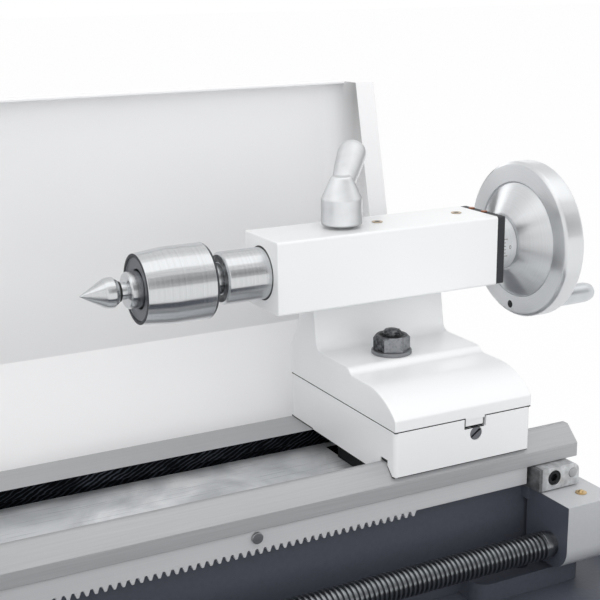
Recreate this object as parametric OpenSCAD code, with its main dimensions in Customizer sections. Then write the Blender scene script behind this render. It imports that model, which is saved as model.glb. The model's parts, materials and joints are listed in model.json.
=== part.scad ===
// Bench lathe of about 210 mm swing, as separate pieces on their real joints.
// Millimetres. X runs along the spindle from headstock to tailstock, Y to the back, Z up.
// Z = 0 is the bench top, and the spindle axis lies in the plane Y = 0.

/* [Machine] */
// Spindle axis above the bench
axis_h = 212; // [206:1:240]
// Spindle axis above the flat way
centre_h = 105; // [103:1:110]
// Length of the bed
bed_l = 860; // [840:10:1000]
// Front edge of the bed
bed_front = -84; // [-90:0.5:-84]
// Rear edge of the bed
bed_rear = 38; // [36:0.5:46]
// Leadscrew radius over the thread
lead_r = 8; // [6:0.5:9]

/* [Tailstock] */
// Face of the barrel on the headstock side
tail_x = 265; // [240:1:300]
// Barrel width and height
barrel_w = 42.4; // [40:0.2:46]
// Barrel length
barrel_l = 149; // [145:1:165]
// Quill radius
quill_r = 15; // [14:0.5:16]
// Quill standing out of the barrel at rest
quill_out = 26.5; // [15:0.5:40]
// Start of the base along the barrel
base_x = 38; // [30:0.5:45]
// Length of the base
base_l = 91.5; // [85:0.5:100]
// Handwheel rim radius
wheel_r = 49.4; // [44:0.1:52]
// Live centre body radius
centre_r = 21.5; // [18:0.5:23]

/* [Headstock] */
// Chuck radius
chuck_r = 62.5; // [50:0.5:65]
// Radius of the hole through the spindle
spindle_bore = 10; // [8:0.5:11]
// Height of the headstock above the spindle axis
head_top = 82; // [74:1:95]

/* [Carriage] */
// Middle of the saddle
car_x = -25; // [-30:1:0]
// Length of the saddle
car_l = 140; // [136:1:150]
// Carriage handwheel radius
apron_wheel_r = 36; // [30:1:37]

/* [Sheet metal] */
// Back panel of the splash guard
guard_y = 110; // [105:1:125]
// Top of the splash guard above the spindle axis
guard_top = 96; // [80:1:120]
// Height of the chip tray rim
tray_h = 22; // [14:1:23]
// Reach of the chip tray to the front and to the rear
tray_w = 228; // [205:1:260]

/* [Hidden] */
$fn = 64;
eps = 0.01;
way_z = axis_h - centre_h;
bed_z = way_z - 80;
x0 = -bed_l / 2;
x1 = bed_l / 2;
// front way: middle of the ridge, its height, and half its flat top
v_y = bed_front + 11.5;
v_h = 8.5;
v_f = 2;
// inner edge of the flat rear way
way_in = 10;
wall_f = bed_front + 10;
wall_r = bed_rear - 8;
floor_z = way_z - 14;
lip_z = way_z - 7;
foot_x = x1 - 42;
foot_y = [bed_front - 2, bed_rear - 2];
bolt_r = 5.5;
lead_y = bed_front - 17;
lead_z = way_z - 51;
seam_z = way_z + 29;
bh = barrel_w / 2;
nose_x = x0 + 192;
chuck_x = nose_x + 12;
chuck_l = 56;
cover_x = x0 - 76;
gear_x = x0 - 43;
gear_w = 10;
pulley_x = x0 - 28;
motor_y = 122;
motor_z = way_z + 25;
gear_m = 2;
gear_n = [24, 64, 36];
rack_m = 1.5;
pin_n = 14;
pin_r = rack_m * pin_n / 2;
pin_x = car_x - 47;
pin_z = way_z - 33;
rack_z = pin_z + pin_r + 0.2;
sad_t = way_z + 21;
sad_f = bed_front - 44;
cross_t = sad_t + 26;
swing_y = -62;
post_z = cross_t + 34;
guard_fold = axis_h - 65;

WHITE = "#EFF0F2";
SLATE = "#4A4D57";
STEEL = "#A9ABAD";
DARK = "#3F4145";
ALU = "#C9CCD0";
BRASS = "#B08A4A";
BLACK = "#222326";

// points on an ellipse arc
function arc(cx, cy, rx, ry, a0, a1, n) =
    [for (i = [0:n]) let (a = a0 + (a1 - a0) * i / n) [cx + rx * cos(a), cy + ry * sin(a)]];

// involute tooth: half angle of the flank at radius r
function inv(a) = tan(a) * 180 / PI - a;
function flank(r, rp, half) = half + inv(20) - inv(acos(min(1, rp * cos(20) / r)));
// outline of a spur gear with the middle of one tooth at angle ph
function gear(m, n, ph, add = 0.95, ded = 1.25, slack = 0.22) =
    let (rp = m * n / 2, rb = rp * cos(20), ra = rp + add * m, rr = rp - ded * m,
        half = (PI * m / 2 - slack) / (2 * rp) * 180 / PI, lo = max(rb, rr + 0.05),
        rs = [lo, (lo + ra) / 2, ra], h = [for (r = rs) flank(r, rp, half)])
    [for (i = [0:n - 1]) let (a = ph + i * 360 / n)
        for (p = [[rr, -h[0]], [rs[0], -h[0]], [rs[1], -h[1]], [rs[2], -h[2]],
            [rs[2], h[2]], [rs[1], h[1]], [rs[0], h[0]], [rr, h[0]]])
            [p[0] * cos(a + p[1]), p[0] * sin(a + p[1])]];

// 2D (Y, Z) carried along X
module along_x(a, b) translate([a, 0, 0]) rotate([90, 0, 90]) linear_extrude(b - a) children();
// 2D (X, Z) carried along Y
module along_y(a, b) translate([0, b, 0]) rotate([90, 0, 0]) linear_extrude(b - a) children();
module xcyl(a, b, r, y = 0, z = 0) translate([a, y, z]) rotate([0, 90, 0]) cylinder(h = b - a, r = r);
module ycyl(a, b, r, x = 0, z = 0) translate([x, a, z]) rotate([-90, 0, 0]) cylinder(h = b - a, r = r);
module zcyl(a, b, r, x = 0, y = 0) translate([x, y, a]) cylinder(h = b - a, r = r);
// outline of [radius, station] points turned about an axis along X or along Y
module spin_x(p, y = 0, z = 0) translate([0, y, z]) rotate([0, 90, 0]) rotate_extrude() polygon(p);
module spin_y(p, x = 0, z = 0) translate([x, 0, z]) rotate([-90, 0, 0]) rotate_extrude() polygon(p);
module box(a, b) translate(a) cube(b - a);
// rectangle with round corners
module rrect(a, b, r) {
    translate([a[0] + r, a[1]]) square([b[0] - a[0] - 2 * r, b[1] - a[1]]);
    translate([a[0], a[1] + r]) square([b[0] - a[0], b[1] - a[1] - 2 * r]);
    for (x = [a[0] + r, b[0] - r], y = [a[1] + r, b[1] - r]) translate([x, y]) circle(r);
}
module rect(a, b) translate(a) square(b - a);
// plate with round corners, seen from above
module along_zr(a, b, za, zb, r) translate([0, 0, za]) linear_extrude(zb - za) rrect(a, b, r);
// groove that runs on the front way, with relief over the ridge
module way_groove(c = 0.1) translate([v_y, way_z])
    polygon([[-v_f - v_h - 2 - c, -2], [-v_f - 1.5 - c, v_h - 1.5], [-v_f - 1.5 - c, v_h + 2],
        [v_f + 1.5 + c, v_h + 2], [v_f + 1.5 + c, v_h - 1.5], [v_f + v_h + 2 + c, -2]]);
// socket cap screw along Y with its head towards the front
module cap_screw_y(x, y, z, r, l) difference() {
    union() { ycyl(y, y + 2 * r, 1.6 * r, x, z); ycyl(y + 2 * r - eps, y + l, r, x, z); }
    translate([x, y - 1, z]) rotate([-90, 0, 0]) cylinder(h = r + 1, r = r, $fn = 6);
}
// round handle on a rim, its axis along Y and its free end to the front
module crank_y(x, y, z, l) spin_y([[0, y + 1], [4, y + 1], [4, y - 3], [5.5, y - 0.35 * l],
    [6.6, y - 0.75 * l], [5.8, y - 0.94 * l], [3.5, y - l], [0, y - l]], x, z);

// bed and tray
module bed() color(SLATE) difference() {
    union() {
        along_x(x0, x1) {
            polygon([[bed_front, way_z - 9], [bed_front, way_z - 0.5], [v_y - v_f - v_h - 0.5, way_z - 0.5],
                [v_y - v_f, way_z + v_h], [v_y + v_f, way_z + v_h], [v_y + v_f + v_h + 0.5, way_z - 0.5],
                [bed_front + 30, way_z - 0.5], [bed_front + 30, lip_z], [wall_f + 11, lip_z],
                [wall_f + 11, way_z - 9]]);
            rect([way_in, lip_z], [bed_rear, way_z]);
            rect([wall_f, bed_z], [wall_f + 12, lip_z + eps]);
            rect([wall_r - 12, bed_z], [wall_r, lip_z + eps]);
            rect([wall_f, floor_z - 8], [wall_r, floor_z]);
            rect([wall_f - 6, bed_z], [wall_f + 16, bed_z + 9]);
            rect([wall_r - 16, bed_z], [wall_r + 6, bed_z + 9]);
        }
        for (x = [x0, x1 - 12, -12]) box([x, wall_f + 1, bed_z], [x + 12, wall_r - 1, floor_z - 4]);
        for (s = [-1, 1]) along_zr([s * foot_x - 38, foot_y[0] - 13], [s * foot_x + 38, foot_y[1] + 13],
            bed_z, bed_z + 12, 10);
    }
    for (x = [[-200, -90], [-60, 60], [tail_x + 48, tail_x + 135]])
        box([x[0], wall_f + 18, floor_z - 9], [x[1], wall_r - 18, floor_z + 1]);
    foot_holes(bed_z - 1, bed_z + 13);
}
module foot_holes(a, b, r = bolt_r) for (x = [-foot_x, foot_x], y = foot_y) zcyl(a, b, r, x, y);

// tray: floor sheet, and four hemmed rim strips that stand on it
tray_a = [x0 - 4, -tray_w];
tray_b = [x1 + 44, tray_w];
// section of a strip whose outside is at o, its hem turned to the side s
module rim(o, s) polygon([[o, bed_z + 0.05], [o, bed_z - 2 + tray_h], [o + s * 3, bed_z - 2 + tray_h],
    [o + s * 3, bed_z - 6 + tray_h], [o + s * 1.6, bed_z - 6.6 + tray_h], [o + s * 1.6, bed_z + 0.05]]);
module chip_tray() color(SLATE) {
    difference() {
        along_zr(tray_a, tray_b, bed_z - 2, bed_z, 3);
        foot_holes(bed_z - 3, bed_z + 1);
    }
    along_x(tray_a[0] + 3, tray_b[0] - 3) { rim(tray_a[1], 1); rim(tray_b[1], -1); }
    along_y(tray_a[1] + 3.05, tray_b[1] - 3.05) { rim(tray_a[0], 1); rim(tray_b[0], -1); }
}
module feet() color(BLACK) for (x = [-foot_x, foot_x], y = [0, 1]) difference() {
    translate([x, foot_y[y], 0]) rotate_extrude() polygon([[0, 0], [24, 0], [24, 6], [19, bed_z - 8],
        [19, bed_z - 2], [0, bed_z - 2]]);
    zcyl(-1, bed_z, bolt_r, x, foot_y[y]);
}

// rack under the front way, teeth down
rack_a = -232;
rack_b = tail_x + 130;
module rack() color(STEEL) along_y(bed_front + 2, wall_f) {
    p = PI * rack_m;
    ni = ceil((rack_a - pin_x) / p) + 1;
    nj = floor((tail_x + 55 - pin_x) / p);
    root = rack_z + 1.25 * rack_m;
    tip = rack_z - 0.8 * rack_m;
    hw = p / 4 - 0.12;
    polygon(concat([[rack_a, way_z - 9], [rack_a, root]],
        [for (i = [ni:nj - 1]) let (c = pin_x + (i + 0.5) * p)
            for (q = [[-hw - tan(20) * 1.25 * rack_m, root], [-hw + tan(20) * 0.8 * rack_m, tip],
                [hw - tan(20) * 0.8 * rack_m, tip], [hw + tan(20) * 1.25 * rack_m, root]]) [c + q[0], q[1]]],
        [[rack_b, root], [rack_b, way_z - 9]]));
}

// leadscrew and its two brackets
br_x = tail_x + 132;
module bracket(x, hx, hl) difference() {
    union() {
        along_y(bed_front - 7, wall_f) {
            rect([x, way_z - 23], [x + 24, way_z - 9.5]);
            rect([x, way_z - 23], [x + 29, way_z - 14.5]);
            translate([x + 24, way_z - 14.5]) circle(5);
        }
        along_x(hx, hx + hl) {
            rect([lead_y - 14, lead_z], [bed_front - 4, lead_z + 27]);
            rect([lead_y, lead_z - 14], [wall_f - 4, lead_z + 27]);
            translate([lead_y, lead_z]) circle(14);
        }
        box([x, wall_f - 7, lead_z + 20], [x + 29, wall_f, way_z - 20]);
    }
    xcyl(hx - 1, hx + hl + 1, 6.54, lead_y, lead_z);
    ycyl(bed_front - 8, wall_f + 1, 2.6, x + 11, way_z - 16);
    ycyl(bed_front - 8, bed_front - 1.6, 4.6, x + 11, way_z - 16);
    ycyl(bed_front - 8, wall_f + 1, 3, x + 24.4, way_z - 15.4);
    zcyl(lead_z, lead_z + 28, 2.5, hx + hl * 0.59, lead_y);
}
module bracket_right() color(ALU) bracket(br_x, br_x + 2, 35);
module bracket_left() color(ALU) bracket(x0 + 4, x0 + 3, 35);
module bed_fasteners() color(STEEL) {
    for (x = [br_x, x0 + 4]) {
        cap_screw_y(x + 11, bed_front - 6.6, way_z - 16, 2.5, 16);
        ycyl(bed_front - 7.4, wall_f - 0.2, 2.98, x + 24.4, way_z - 15.4);
    }
    for (x = [-200, -60, 80, 220]) rack_screw(x);
}
// low screw heads on the face of the rack
module rack_screw(x) ycyl(bed_front + 0.2, bed_front + 2, 3.2, x, way_z - 13.6);
module bed_oilers() color(BRASS) for (x = [br_x + 2, x0 + 3])
    translate([x + 35 * 0.59, lead_y, lead_z]) { zcyl(20, 27, 2.48); zcyl(27, 27.6, 3.4); translate([0, 0, 27.2]) sphere(1.8); }
module leadscrew() color(STEEL) {
    xcyl(x0 + 42, br_x - 1, lead_r, lead_y, lead_z);
    xcyl(x0 - 46, x0 + 42 + eps, 6.5, lead_y, lead_z);
    xcyl(br_x - 1 - eps, br_x + 42, 6.5, lead_y, lead_z);
    xcyl(br_x + 37.4, br_x + 41, 11, lead_y, lead_z);
}

// sheet metal behind the bed
g_a = -214;
g_b = tail_x + 111;
g_t = 1.5;
// section through the bent back panel
module guard_band() polygon([[bed_rear + 14, bed_z], [bed_rear + 14, way_z - 15], [guard_y - g_t, guard_fold],
    [guard_y - g_t, axis_h + guard_top - g_t], [guard_y - 14, axis_h + guard_top - g_t],
    [guard_y - 14, axis_h + guard_top], [guard_y, axis_h + guard_top], [guard_y, guard_fold - 0.6],
    [bed_rear + 14 + g_t, way_z - 15.6], [bed_rear + 14 + g_t, bed_z]]);
// end flange of the guard, its front edge leaning back to the top
module guard_side(o) polygon([[bed_rear + 13 + o, way_z - 20], [guard_y - 46 + o, axis_h + 14],
    [guard_y - 28 + o, axis_h + guard_top], [guard_y, axis_h + guard_top], [guard_y, guard_fold - 0.6],
    [bed_rear + 15.5, way_z - 15.6], [bed_rear + 15.5, way_z - 20]]);
module splash_guard() color(WHITE) {
    along_x(g_a, g_b) guard_band();
    along_x(g_b - g_t, g_b) guard_side(0);
    along_x(g_b - g_t, g_b + 12) difference() {
        guard_side(0);
        guard_side(g_t);
        rect([guard_y - 26, 0], [300, 600]);
        rect([0, 0], [300, way_z - 18]);
    }
    along_x(g_a, g_a + g_t) rect([guard_y - 20, guard_fold + 6], [guard_y, axis_h + guard_top]);
}

// headstock
module headstock() color(WHITE) {
    difference() {
        along_x(x0 - 5, nose_x - 2) difference() {
            union() {
                rrect([bed_front, way_z + 30], [74, axis_h + head_top], 20);
                rect([bed_front, way_z], [74, axis_h]);
            }
            way_groove(0.05);
            rect([bed_front - 1, way_z - 1], [v_y, way_z + 2]);
            rect([bed_rear + 2, way_z - 1], [75, way_z + 6]);
        }
        xcyl(x0 - 6, nose_x, 24, 0, axis_h);
        xcyl(x0 - 6, x0 + 20, 31, 0, axis_h);
        xcyl(nose_x - 20, nose_x, 31, 0, axis_h);
    }
    // lid over the bearings
    along_zr([x0 + 14, bed_front + 26], [nose_x - 22, 48], axis_h + head_top - 1, axis_h + head_top + 4, 8);
    // back plate behind the change gears, with the idler's stud and the studs that hold the cover
    difference() {
        along_x(x0 - 8, x0 - 5.05) cover_line(0);
        xcyl(x0 - 9, x0, 17, 0, axis_h);
        xcyl(x0 - 9, x0, 9, motor_y, motor_z);
        xcyl(x0 - 9, x0, 8, lead_y, lead_z);
    }
    xcyl(gear_x - 3, x0 - 8.05, 8, idle[0], idle[1]);
    for (y = [-60, 60]) xcyl(cover_x + 3.1, x0 - 8.05, 5, y, axis_h + 40);
}
module spindle_bearings() color(STEEL) for (x = [x0 + 4, nose_x - 20]) difference() {
    xcyl(x, x + 16, 30.98, 0, axis_h);
    xcyl(x - 1, x + 17, 15.04, 0, axis_h);
}
module spindle() color(STEEL) spin_x([[spindle_bore, x0 - 62], [15, x0 - 62], [15, nose_x - 2], [20, nose_x - 2],
    [20, nose_x], [36, nose_x], [36, chuck_x], [spindle_bore, chuck_x]], 0, axis_h);
module control_panel() color(DARK) difference() {
    box([x0 + 30, bed_front - 11, axis_h - 55], [nose_x - 20, bed_front, axis_h + 66]);
    ycyl(bed_front - 12, bed_front - 1, 4.3, x0 + 100, axis_h - 18);
    ycyl(bed_front - 12, bed_front - 1, 9.3, x0 + 100, axis_h + 36);
}
module speed_knob() color(BLACK) spin_y([[0, bed_front - 1.5], [4, bed_front - 1.5], [4, bed_front - 11.4],
    [14, bed_front - 11.4], [12.5, bed_front - 27], [11, bed_front - 28.5], [0, bed_front - 28.5]],
    x0 + 100, axis_h - 18);
module emergency_stop() color("#B3201F") spin_y([[0, bed_front - 6], [9, bed_front - 6], [9, bed_front - 20],
    [18, bed_front - 21], [18, bed_front - 27], [13, bed_front - 32], [0, bed_front - 33]], x0 + 100, axis_h + 36);

// drive at the left end
// ribbed section of the motor's housing
module motor_ribs(n) translate([motor_y, motor_z]) polygon([for (i = [0:n - 1], q = [[41, -0.3], [44, -0.24], [44, 0.08], [41, 0.14]])
    let (a = (i + q[1]) * 360 / n) [q[0] * cos(a), q[0] * sin(a)]]);
module motor() color(SLATE) difference() {
    union() {
        along_x(x0 + 14, nose_x - 34) motor_ribs(40);
        spin_x([[0, x0 + 6], [43, x0 + 6], [45, x0 + 8], [45, x0 + 20], [0, x0 + 20]], motor_y, motor_z);
        spin_x([[0, nose_x - 40], [46, nose_x - 40], [46, nose_x - 2], [42, nose_x + 6], [0, nose_x + 6]], motor_y, motor_z);
        xcyl(x0 - 4.9, x0 + 6 + eps, 30, motor_y, motor_z);
        box([x0 + 40, 74, motor_z - 26], [nose_x - 50, 92, motor_z + 26]);
        along_x(x0 + 60, x0 + 140) rrect([motor_y - 20, motor_z + 26], [motor_y + 20, motor_z + 58], 4);
    }
    xcyl(pulley_x, x0 + 30, 7.3, motor_y, motor_z);
}
module motor_pulley() color(ALU) {
    spin_x([[0, pulley_x], [20.5, pulley_x], [20.5, pulley_x + 1.5], [17.4, pulley_x + 1.5], [17.4, pulley_x + 16.5],
        [20.5, pulley_x + 16.5], [20.5, pulley_x + 18], [0, pulley_x + 18]], motor_y, motor_z);
    xcyl(pulley_x + 18 - eps, x0 + 28, 7, motor_y, motor_z);
}
module spindle_pulley() color(ALU) spin_x([[15.02, pulley_x], [48, pulley_x], [48, pulley_x + 1.5],
    [44.4, pulley_x + 1.5], [44.4, pulley_x + 16.5], [48, pulley_x + 16.5], [48, pulley_x + 18], [15.02, pulley_x + 18]],
    0, axis_h);
// belt outline at radius ra round the spindle and rb round the motor pulley
module belt_line(ra, rb) {
    dy = motor_y;
    dz = motor_z - axis_h;
    d = sqrt(dy * dy + dz * dz);
    t = atan2(dz, dy);
    b = acos((ra - rb) / d);
    polygon(concat(arc(0, axis_h, ra, ra, t + b, t + 360 - b, 40), arc(motor_y, motor_z, rb, rb, t - b, t + b, 24)));
}
module drive_belt() color(BLACK) along_x(pulley_x + 2.5, pulley_x + 15.5) difference() {
    belt_line(47.2, 20.2);
    belt_line(44.9, 17.9);
}
// change gears: spindle, idler and leadscrew wheels in mesh
g_r = [for (n = gear_n) gear_m * n / 2];
g_d = [g_r[0] + g_r[1] + 0.15, g_r[1] + g_r[2] + 0.15];
g_l = sqrt(pow(lead_y, 2) + pow(lead_z - axis_h, 2));
g_t0 = atan2(lead_z - axis_h, lead_y);
g_a0 = g_t0 - acos((g_d[0] * g_d[0] + g_l * g_l - g_d[1] * g_d[1]) / (2 * g_d[0] * g_l));
idle = [g_d[0] * cos(g_a0), axis_h + g_d[0] * sin(g_a0)];
g_a1 = atan2(lead_z - idle[1], lead_y - idle[0]);
ph1 = g_a0 + 180 + 180 / gear_n[1];
p1 = 360 / gear_n[1];
off1 = (g_a1 - ph1) - p1 * round((g_a1 - ph1) / p1);
ph2 = g_a1 + 180 + off1 * gear_n[1] / gear_n[2] + 180 / gear_n[2];
module wheel(n, ph, y, z, bore) along_x(gear_x, gear_x + gear_w) translate([y, z]) difference() {
    polygon(gear(gear_m, n, ph));
    circle(bore);
}
module spindle_gear() color(STEEL) wheel(gear_n[0], g_a0, 0, axis_h, 15.02);
module idler_gear() color(STEEL) {
    wheel(gear_n[1], ph1, idle[0], idle[1], 8.04);
}
module leadscrew_gear() color(STEEL) wheel(gear_n[2], ph2, lead_y, lead_z, 6.52);
// outline of the end cover, drawn in by o
module cover_line(o) rrect([-150 + o, way_z - 95 + o], [156 - o, axis_h + 70 - o], 22 - o);
module gear_cover() color(WHITE) {
    difference() {
        along_x(cover_x, x0 - 8) cover_line(0);
        along_x(cover_x + 3, x0 - 7) cover_line(3);
        xcyl(cover_x - 1, cover_x + 16, 26, 0, axis_h);
    }
    for (y = [-60, 60]) spin_x([[0, cover_x + 1], [9, cover_x + 1], [9, cover_x - 4.5], [7.5, cover_x - 6], [0, cover_x - 6]],
        y, axis_h + 40);
}

// chuck and jaws
module chuck_body() color(STEEL) difference() {
    spin_x([[16, chuck_x], [chuck_r - 1.5, chuck_x], [chuck_r, chuck_x + 1.5], [chuck_r, chuck_x + chuck_l - 3],
        [chuck_r - 3, chuck_x + chuck_l], [16, chuck_x + chuck_l]], 0, axis_h);
    for (a = [90, 210, 330]) translate([0, 0, axis_h]) rotate([a - 90, 0, 0]) {
        box([chuck_x + 32, -8.2, 0], [chuck_x + chuck_l + 1, 8.2, chuck_r + 1]);
        box([chuck_x + 39.8, -11.2, 0], [chuck_x + 46.2, 11.2, chuck_r + 1]);
    }
    for (a = [30, 150, 270]) translate([chuck_x + 20, 0, axis_h]) rotate([a - 90, 0, 0])
        translate([0, 0, chuck_r - 14]) { cylinder(h = 15, r = 6.5); translate([-4.5, -4.5, -6]) cube([9, 9, 8]); }
}
module jaw(a) color(STEEL) translate([0, 0, axis_h]) rotate([a - 90, 0, 0]) {
    e = chuck_x + chuck_l;
    difference() {
        union() {
            box([e - 23.6, -8, 13], [e + 18, 8, 56]);
            box([e - 15.8, -11, 13], [e - 10.2, 11, 54]);
            box([e + 18 - eps, -8, 13], [e + 30, 8, 43]);
            box([e + 30 - eps, -8, 13], [e + 42, 8, 28]);
        }
        for (s = [-1, 1]) along_x(e - 30, e + 50) polygon([[s * 3, 12], [s * 12, 12], [s * 12, 18.2]]);
    }
}
module jaw_1() jaw(90);
module jaw_2() jaw(210);
module jaw_3() jaw(330);

// carriage
sx0 = car_x - car_l / 2;
sx1 = car_x + car_l / 2;
module saddle() color(WHITE) difference() {
    union() {
        difference() {
            along_x(sx0, sx1) difference() {
                rrect([sad_f, way_z + 0.1], [bed_rear + 14, sad_t], 3);
                way_groove();
                rect([bed_front - 2.4, way_z - 1], [v_y, way_z + 2]);
            }
            for (s = [-1, 1]) along_zr([car_x + s * 57 - 20, bed_front + 36], [car_x + s * 57 + 20, -8], way_z - 1,
                sad_t + 1, 6);
        }
        along_y(sad_f, bed_rear + 14) polygon([[car_x - 22, sad_t - eps], [car_x + 22, sad_t - eps],
            [car_x + 28, sad_t + 11.5], [car_x - 28, sad_t + 11.5]]);
        along_x(sx0, sx1) rect([bed_rear + 2, way_z - 7.5], [bed_rear + 14, way_z + 4]);
    }
    box([car_x - 7, sad_f + 9, sad_t - 4], [car_x + 7, bed_rear + 15, sad_t + 12]);
    ycyl(sad_f - 1, sad_f + 10, 5.06, car_x, sad_t + 3);
}
module saddle_keepers() color(STEEL) {
    box([sx0 + 6, bed_rear - 6, way_z - 13.2], [sx1 - 6, bed_rear + 14, way_z - 7.6]);
}
module apron() color(WHITE) difference() {
    along_y(sad_f, bed_front - 4) rrect([sx0, way_z - 75], [sx1, way_z + 0.05], 6);
    xcyl(sx0 - 1, sx1 + 1, lead_r + 1.4, lead_y, lead_z);
    box([car_x + 18, lead_y - 14, lead_z - 20], [car_x + 56, bed_front - 3, lead_z + 22]);
    ycyl(sad_f - 1, bed_front - 3, 6.06, pin_x, pin_z);
    ycyl(sad_f - 1, lead_y, 5.06, car_x + 40, way_z - 22);
}
module half_nut(s) color(BRASS) difference() {
    box([car_x + 20, lead_y - 12, lead_z + min(s * 4.4, s * 19)], [car_x + 54, lead_y + 12, lead_z + max(s * 4.4, s * 19)]);
    xcyl(car_x + 19, car_x + 55, lead_r + 0.3, lead_y, lead_z + s * 4.2);
}
module half_nut_upper() half_nut(1);
module half_nut_lower() half_nut(-1);
module half_nut_lever() color(BLACK) {
    x = car_x + 40;
    z = way_z - 22;
    spin_y([[0, sad_f + 12], [5, sad_f + 12], [5, sad_f - 0.3], [11, sad_f - 0.3], [11, sad_f - 13], [9, sad_f - 15],
        [0, sad_f - 15]], x, z);
    translate([x, sad_f - 9, z]) rotate([0, 35, 0]) { cylinder(h = 48, r1 = 4, r2 = 3.4); translate([0, 0, 52]) sphere(7.5); }
}
// front handwheel with a dished web; y is the rear face of the hub
module hand_wheel_y(x, y, z, r) spin_y([[0, y], [15, y], [15, y - 14], [r - 9, y - 18], [r - 9, y - 14], [r - 1.5, y - 14],
    [r, y - 15.5], [r, y - 24.5], [r - 1.5, y - 26], [r - 9, y - 26], [r - 9, y - 22], [10, y - 22], [10, y - 27],
    [8, y - 29], [0, y - 29]], x, z);
module carriage_handwheel() color(ALU) {
    ycyl(sad_f - 1, bed_front - 0.5, 6, pin_x, pin_z);
    hand_wheel_y(pin_x, sad_f - 0.4, pin_z, apron_wheel_r);
    crank_y(pin_x - apron_wheel_r + 8, sad_f - 26.4, pin_z, 46);
}
module carriage_pinion() color(STEEL) {
    along_y(bed_front + 1, wall_f - 1) translate([pin_x, pin_z]) polygon(gear(rack_m, pin_n, 90, 0.8, 1.1));
    ycyl(bed_front - 0.5, bed_front + 1 + eps, 6, pin_x, pin_z);
}

// cross slide, compound and tool post
module cross_slide() color(STEEL) difference() {
    union() {
        difference() {
            along_y(-100, 40) difference() {
                rrect([car_x - 42, sad_t + 0.2], [car_x + 42, cross_t], 2);
                polygon([[car_x - 22.25, sad_t - 1], [car_x + 22.25, sad_t - 1], [car_x + 22.25, sad_t],
                    [car_x + 28.3, sad_t + 12], [car_x - 28.3, sad_t + 12], [car_x - 22.25, sad_t]]);
            }
            for (x = [-26, 26]) along_y(-101, 41) {
                rect([car_x + x - 4, cross_t - 12], [car_x + x + 4, cross_t + 1]);
                rect([car_x + x - 7, cross_t - 12], [car_x + x + 7, cross_t - 6]);
            }
        }
        box([car_x - 6, -60, sad_t - 3], [car_x + 6, -30, sad_t + 13]);
        for (x = [-26, 26]) box([car_x + x - 7.5, -96, cross_t - 12.5], [car_x + x + 7.5, -28, cross_t - 1]);
    }
    ycyl(-61, -29, 5.06, car_x, sad_t + 3);
}
module cross_feed() color(ALU) {
    ycyl(sad_f - 1, bed_rear + 10, 5, car_x, sad_t + 3);
    spin_y([[0, sad_f - 0.3], [16, sad_f - 0.3], [16, sad_f - 16], [0, sad_f - 16]], car_x, sad_t + 3);
    hand_wheel_y(car_x, sad_f - 16.3, sad_t + 3, 31);
    ycyl(sad_f - 17, sad_f - 15, 8, car_x, sad_t + 3);
    crank_y(car_x + 23, sad_f - 42.4, sad_t + 3, 42);
}
module swivel_base() color(STEEL) difference() {
    union() {
        zcyl(cross_t, cross_t + 9, 36, car_x, swing_y);
        box([car_x - 46, swing_y - 24, cross_t + 9 - eps], [car_x + 46, swing_y + 24, cross_t + 14]);
        along_x(car_x - 46, car_x + 46) polygon([[swing_y - 13, cross_t + 14 - eps], [swing_y + 13, cross_t + 14 - eps],
            [swing_y + 18, cross_t + 23], [swing_y - 18, cross_t + 23]]);
    }
    box([car_x - 47, swing_y - 5.5, cross_t + 12], [car_x + 40, swing_y + 5.5, cross_t + 24]);
    xcyl(car_x + 39, car_x + 47, 4.06, swing_y, cross_t + 17);
}
module top_slide() color(STEEL) difference() {
    union() {
        along_x(car_x - 50, car_x + 40) difference() {
            rrect([swing_y - 26, cross_t + 14.2], [swing_y + 26, post_z], 1.5);
            polygon([[swing_y - 13.2, cross_t + 13], [swing_y + 13.2, cross_t + 13], [swing_y + 13.2, cross_t + 14],
                [swing_y + 18.3, cross_t + 23.4], [swing_y - 18.3, cross_t + 23.4], [swing_y - 13.2, cross_t + 14]]);
        }
        box([car_x - 12, swing_y - 5, cross_t + 12.6], [car_x + 12, swing_y + 5, cross_t + 24]);
        zcyl(post_z - 1, post_z + 52, 7, car_x - 5, swing_y);
    }
    xcyl(car_x - 13, car_x + 13, 4.06, swing_y, cross_t + 17);
}
module top_feed() color(ALU) {
    xcyl(car_x - 30, car_x + 48, 4, swing_y, cross_t + 17);
    spin_x([[0, car_x + 46.3], [12, car_x + 46.3], [12, car_x + 58], [9, car_x + 60], [0, car_x + 60]], swing_y, cross_t + 17);
    for (s = [-1, 1]) translate([car_x + 55, swing_y, cross_t + 17]) rotate([0, 0, s * 90]) rotate([0, 90, 0])
        cylinder(h = 24, r1 = 4.6, r2 = 3.2);
    translate([car_x + 55, swing_y + 24, cross_t + 17]) sphere(6);
    translate([car_x + 55, swing_y - 24, cross_t + 17]) sphere(6);
    spin_x([[0, car_x + 56], [3.2, car_x + 56], [3.2, car_x + 62], [4.8, car_x + 72], [4.4, car_x + 79], [2.4, car_x + 82],
        [0, car_x + 82.4]], swing_y - 24, cross_t + 17);
}
module tool_post() color(DARK) difference() {
    union() {
        box([car_x - 35, swing_y - 30, post_z + 0.2], [car_x + 25, swing_y + 30, post_z + 9]);
        box([car_x - 19, swing_y - 14, post_z + 8], [car_x + 9, swing_y + 14, post_z + 26]);
        box([car_x - 35, swing_y - 30, post_z + 25], [car_x + 25, swing_y + 30, post_z + 40]);
    }
    zcyl(post_z - 1, post_z + 41, 7.06, car_x - 5, swing_y);
    for (x = [-27, -13, 3, 17], y = [-22, 22]) zcyl(post_z + 24, post_z + 41, 4.02, car_x + x, swing_y + y);
}
module tool_screws() color(BLACK) for (x = [-27, -13, 3, 17], y = [-22, 22]) {
    zcyl(post_z + 23, post_z + 48, 4, car_x + x, swing_y + y);
    box([car_x + x - 4.2, swing_y + y - 4.2, post_z + 47.9], [car_x + x + 4.2, swing_y + y + 4.2, post_z + 57]);
}
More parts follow.
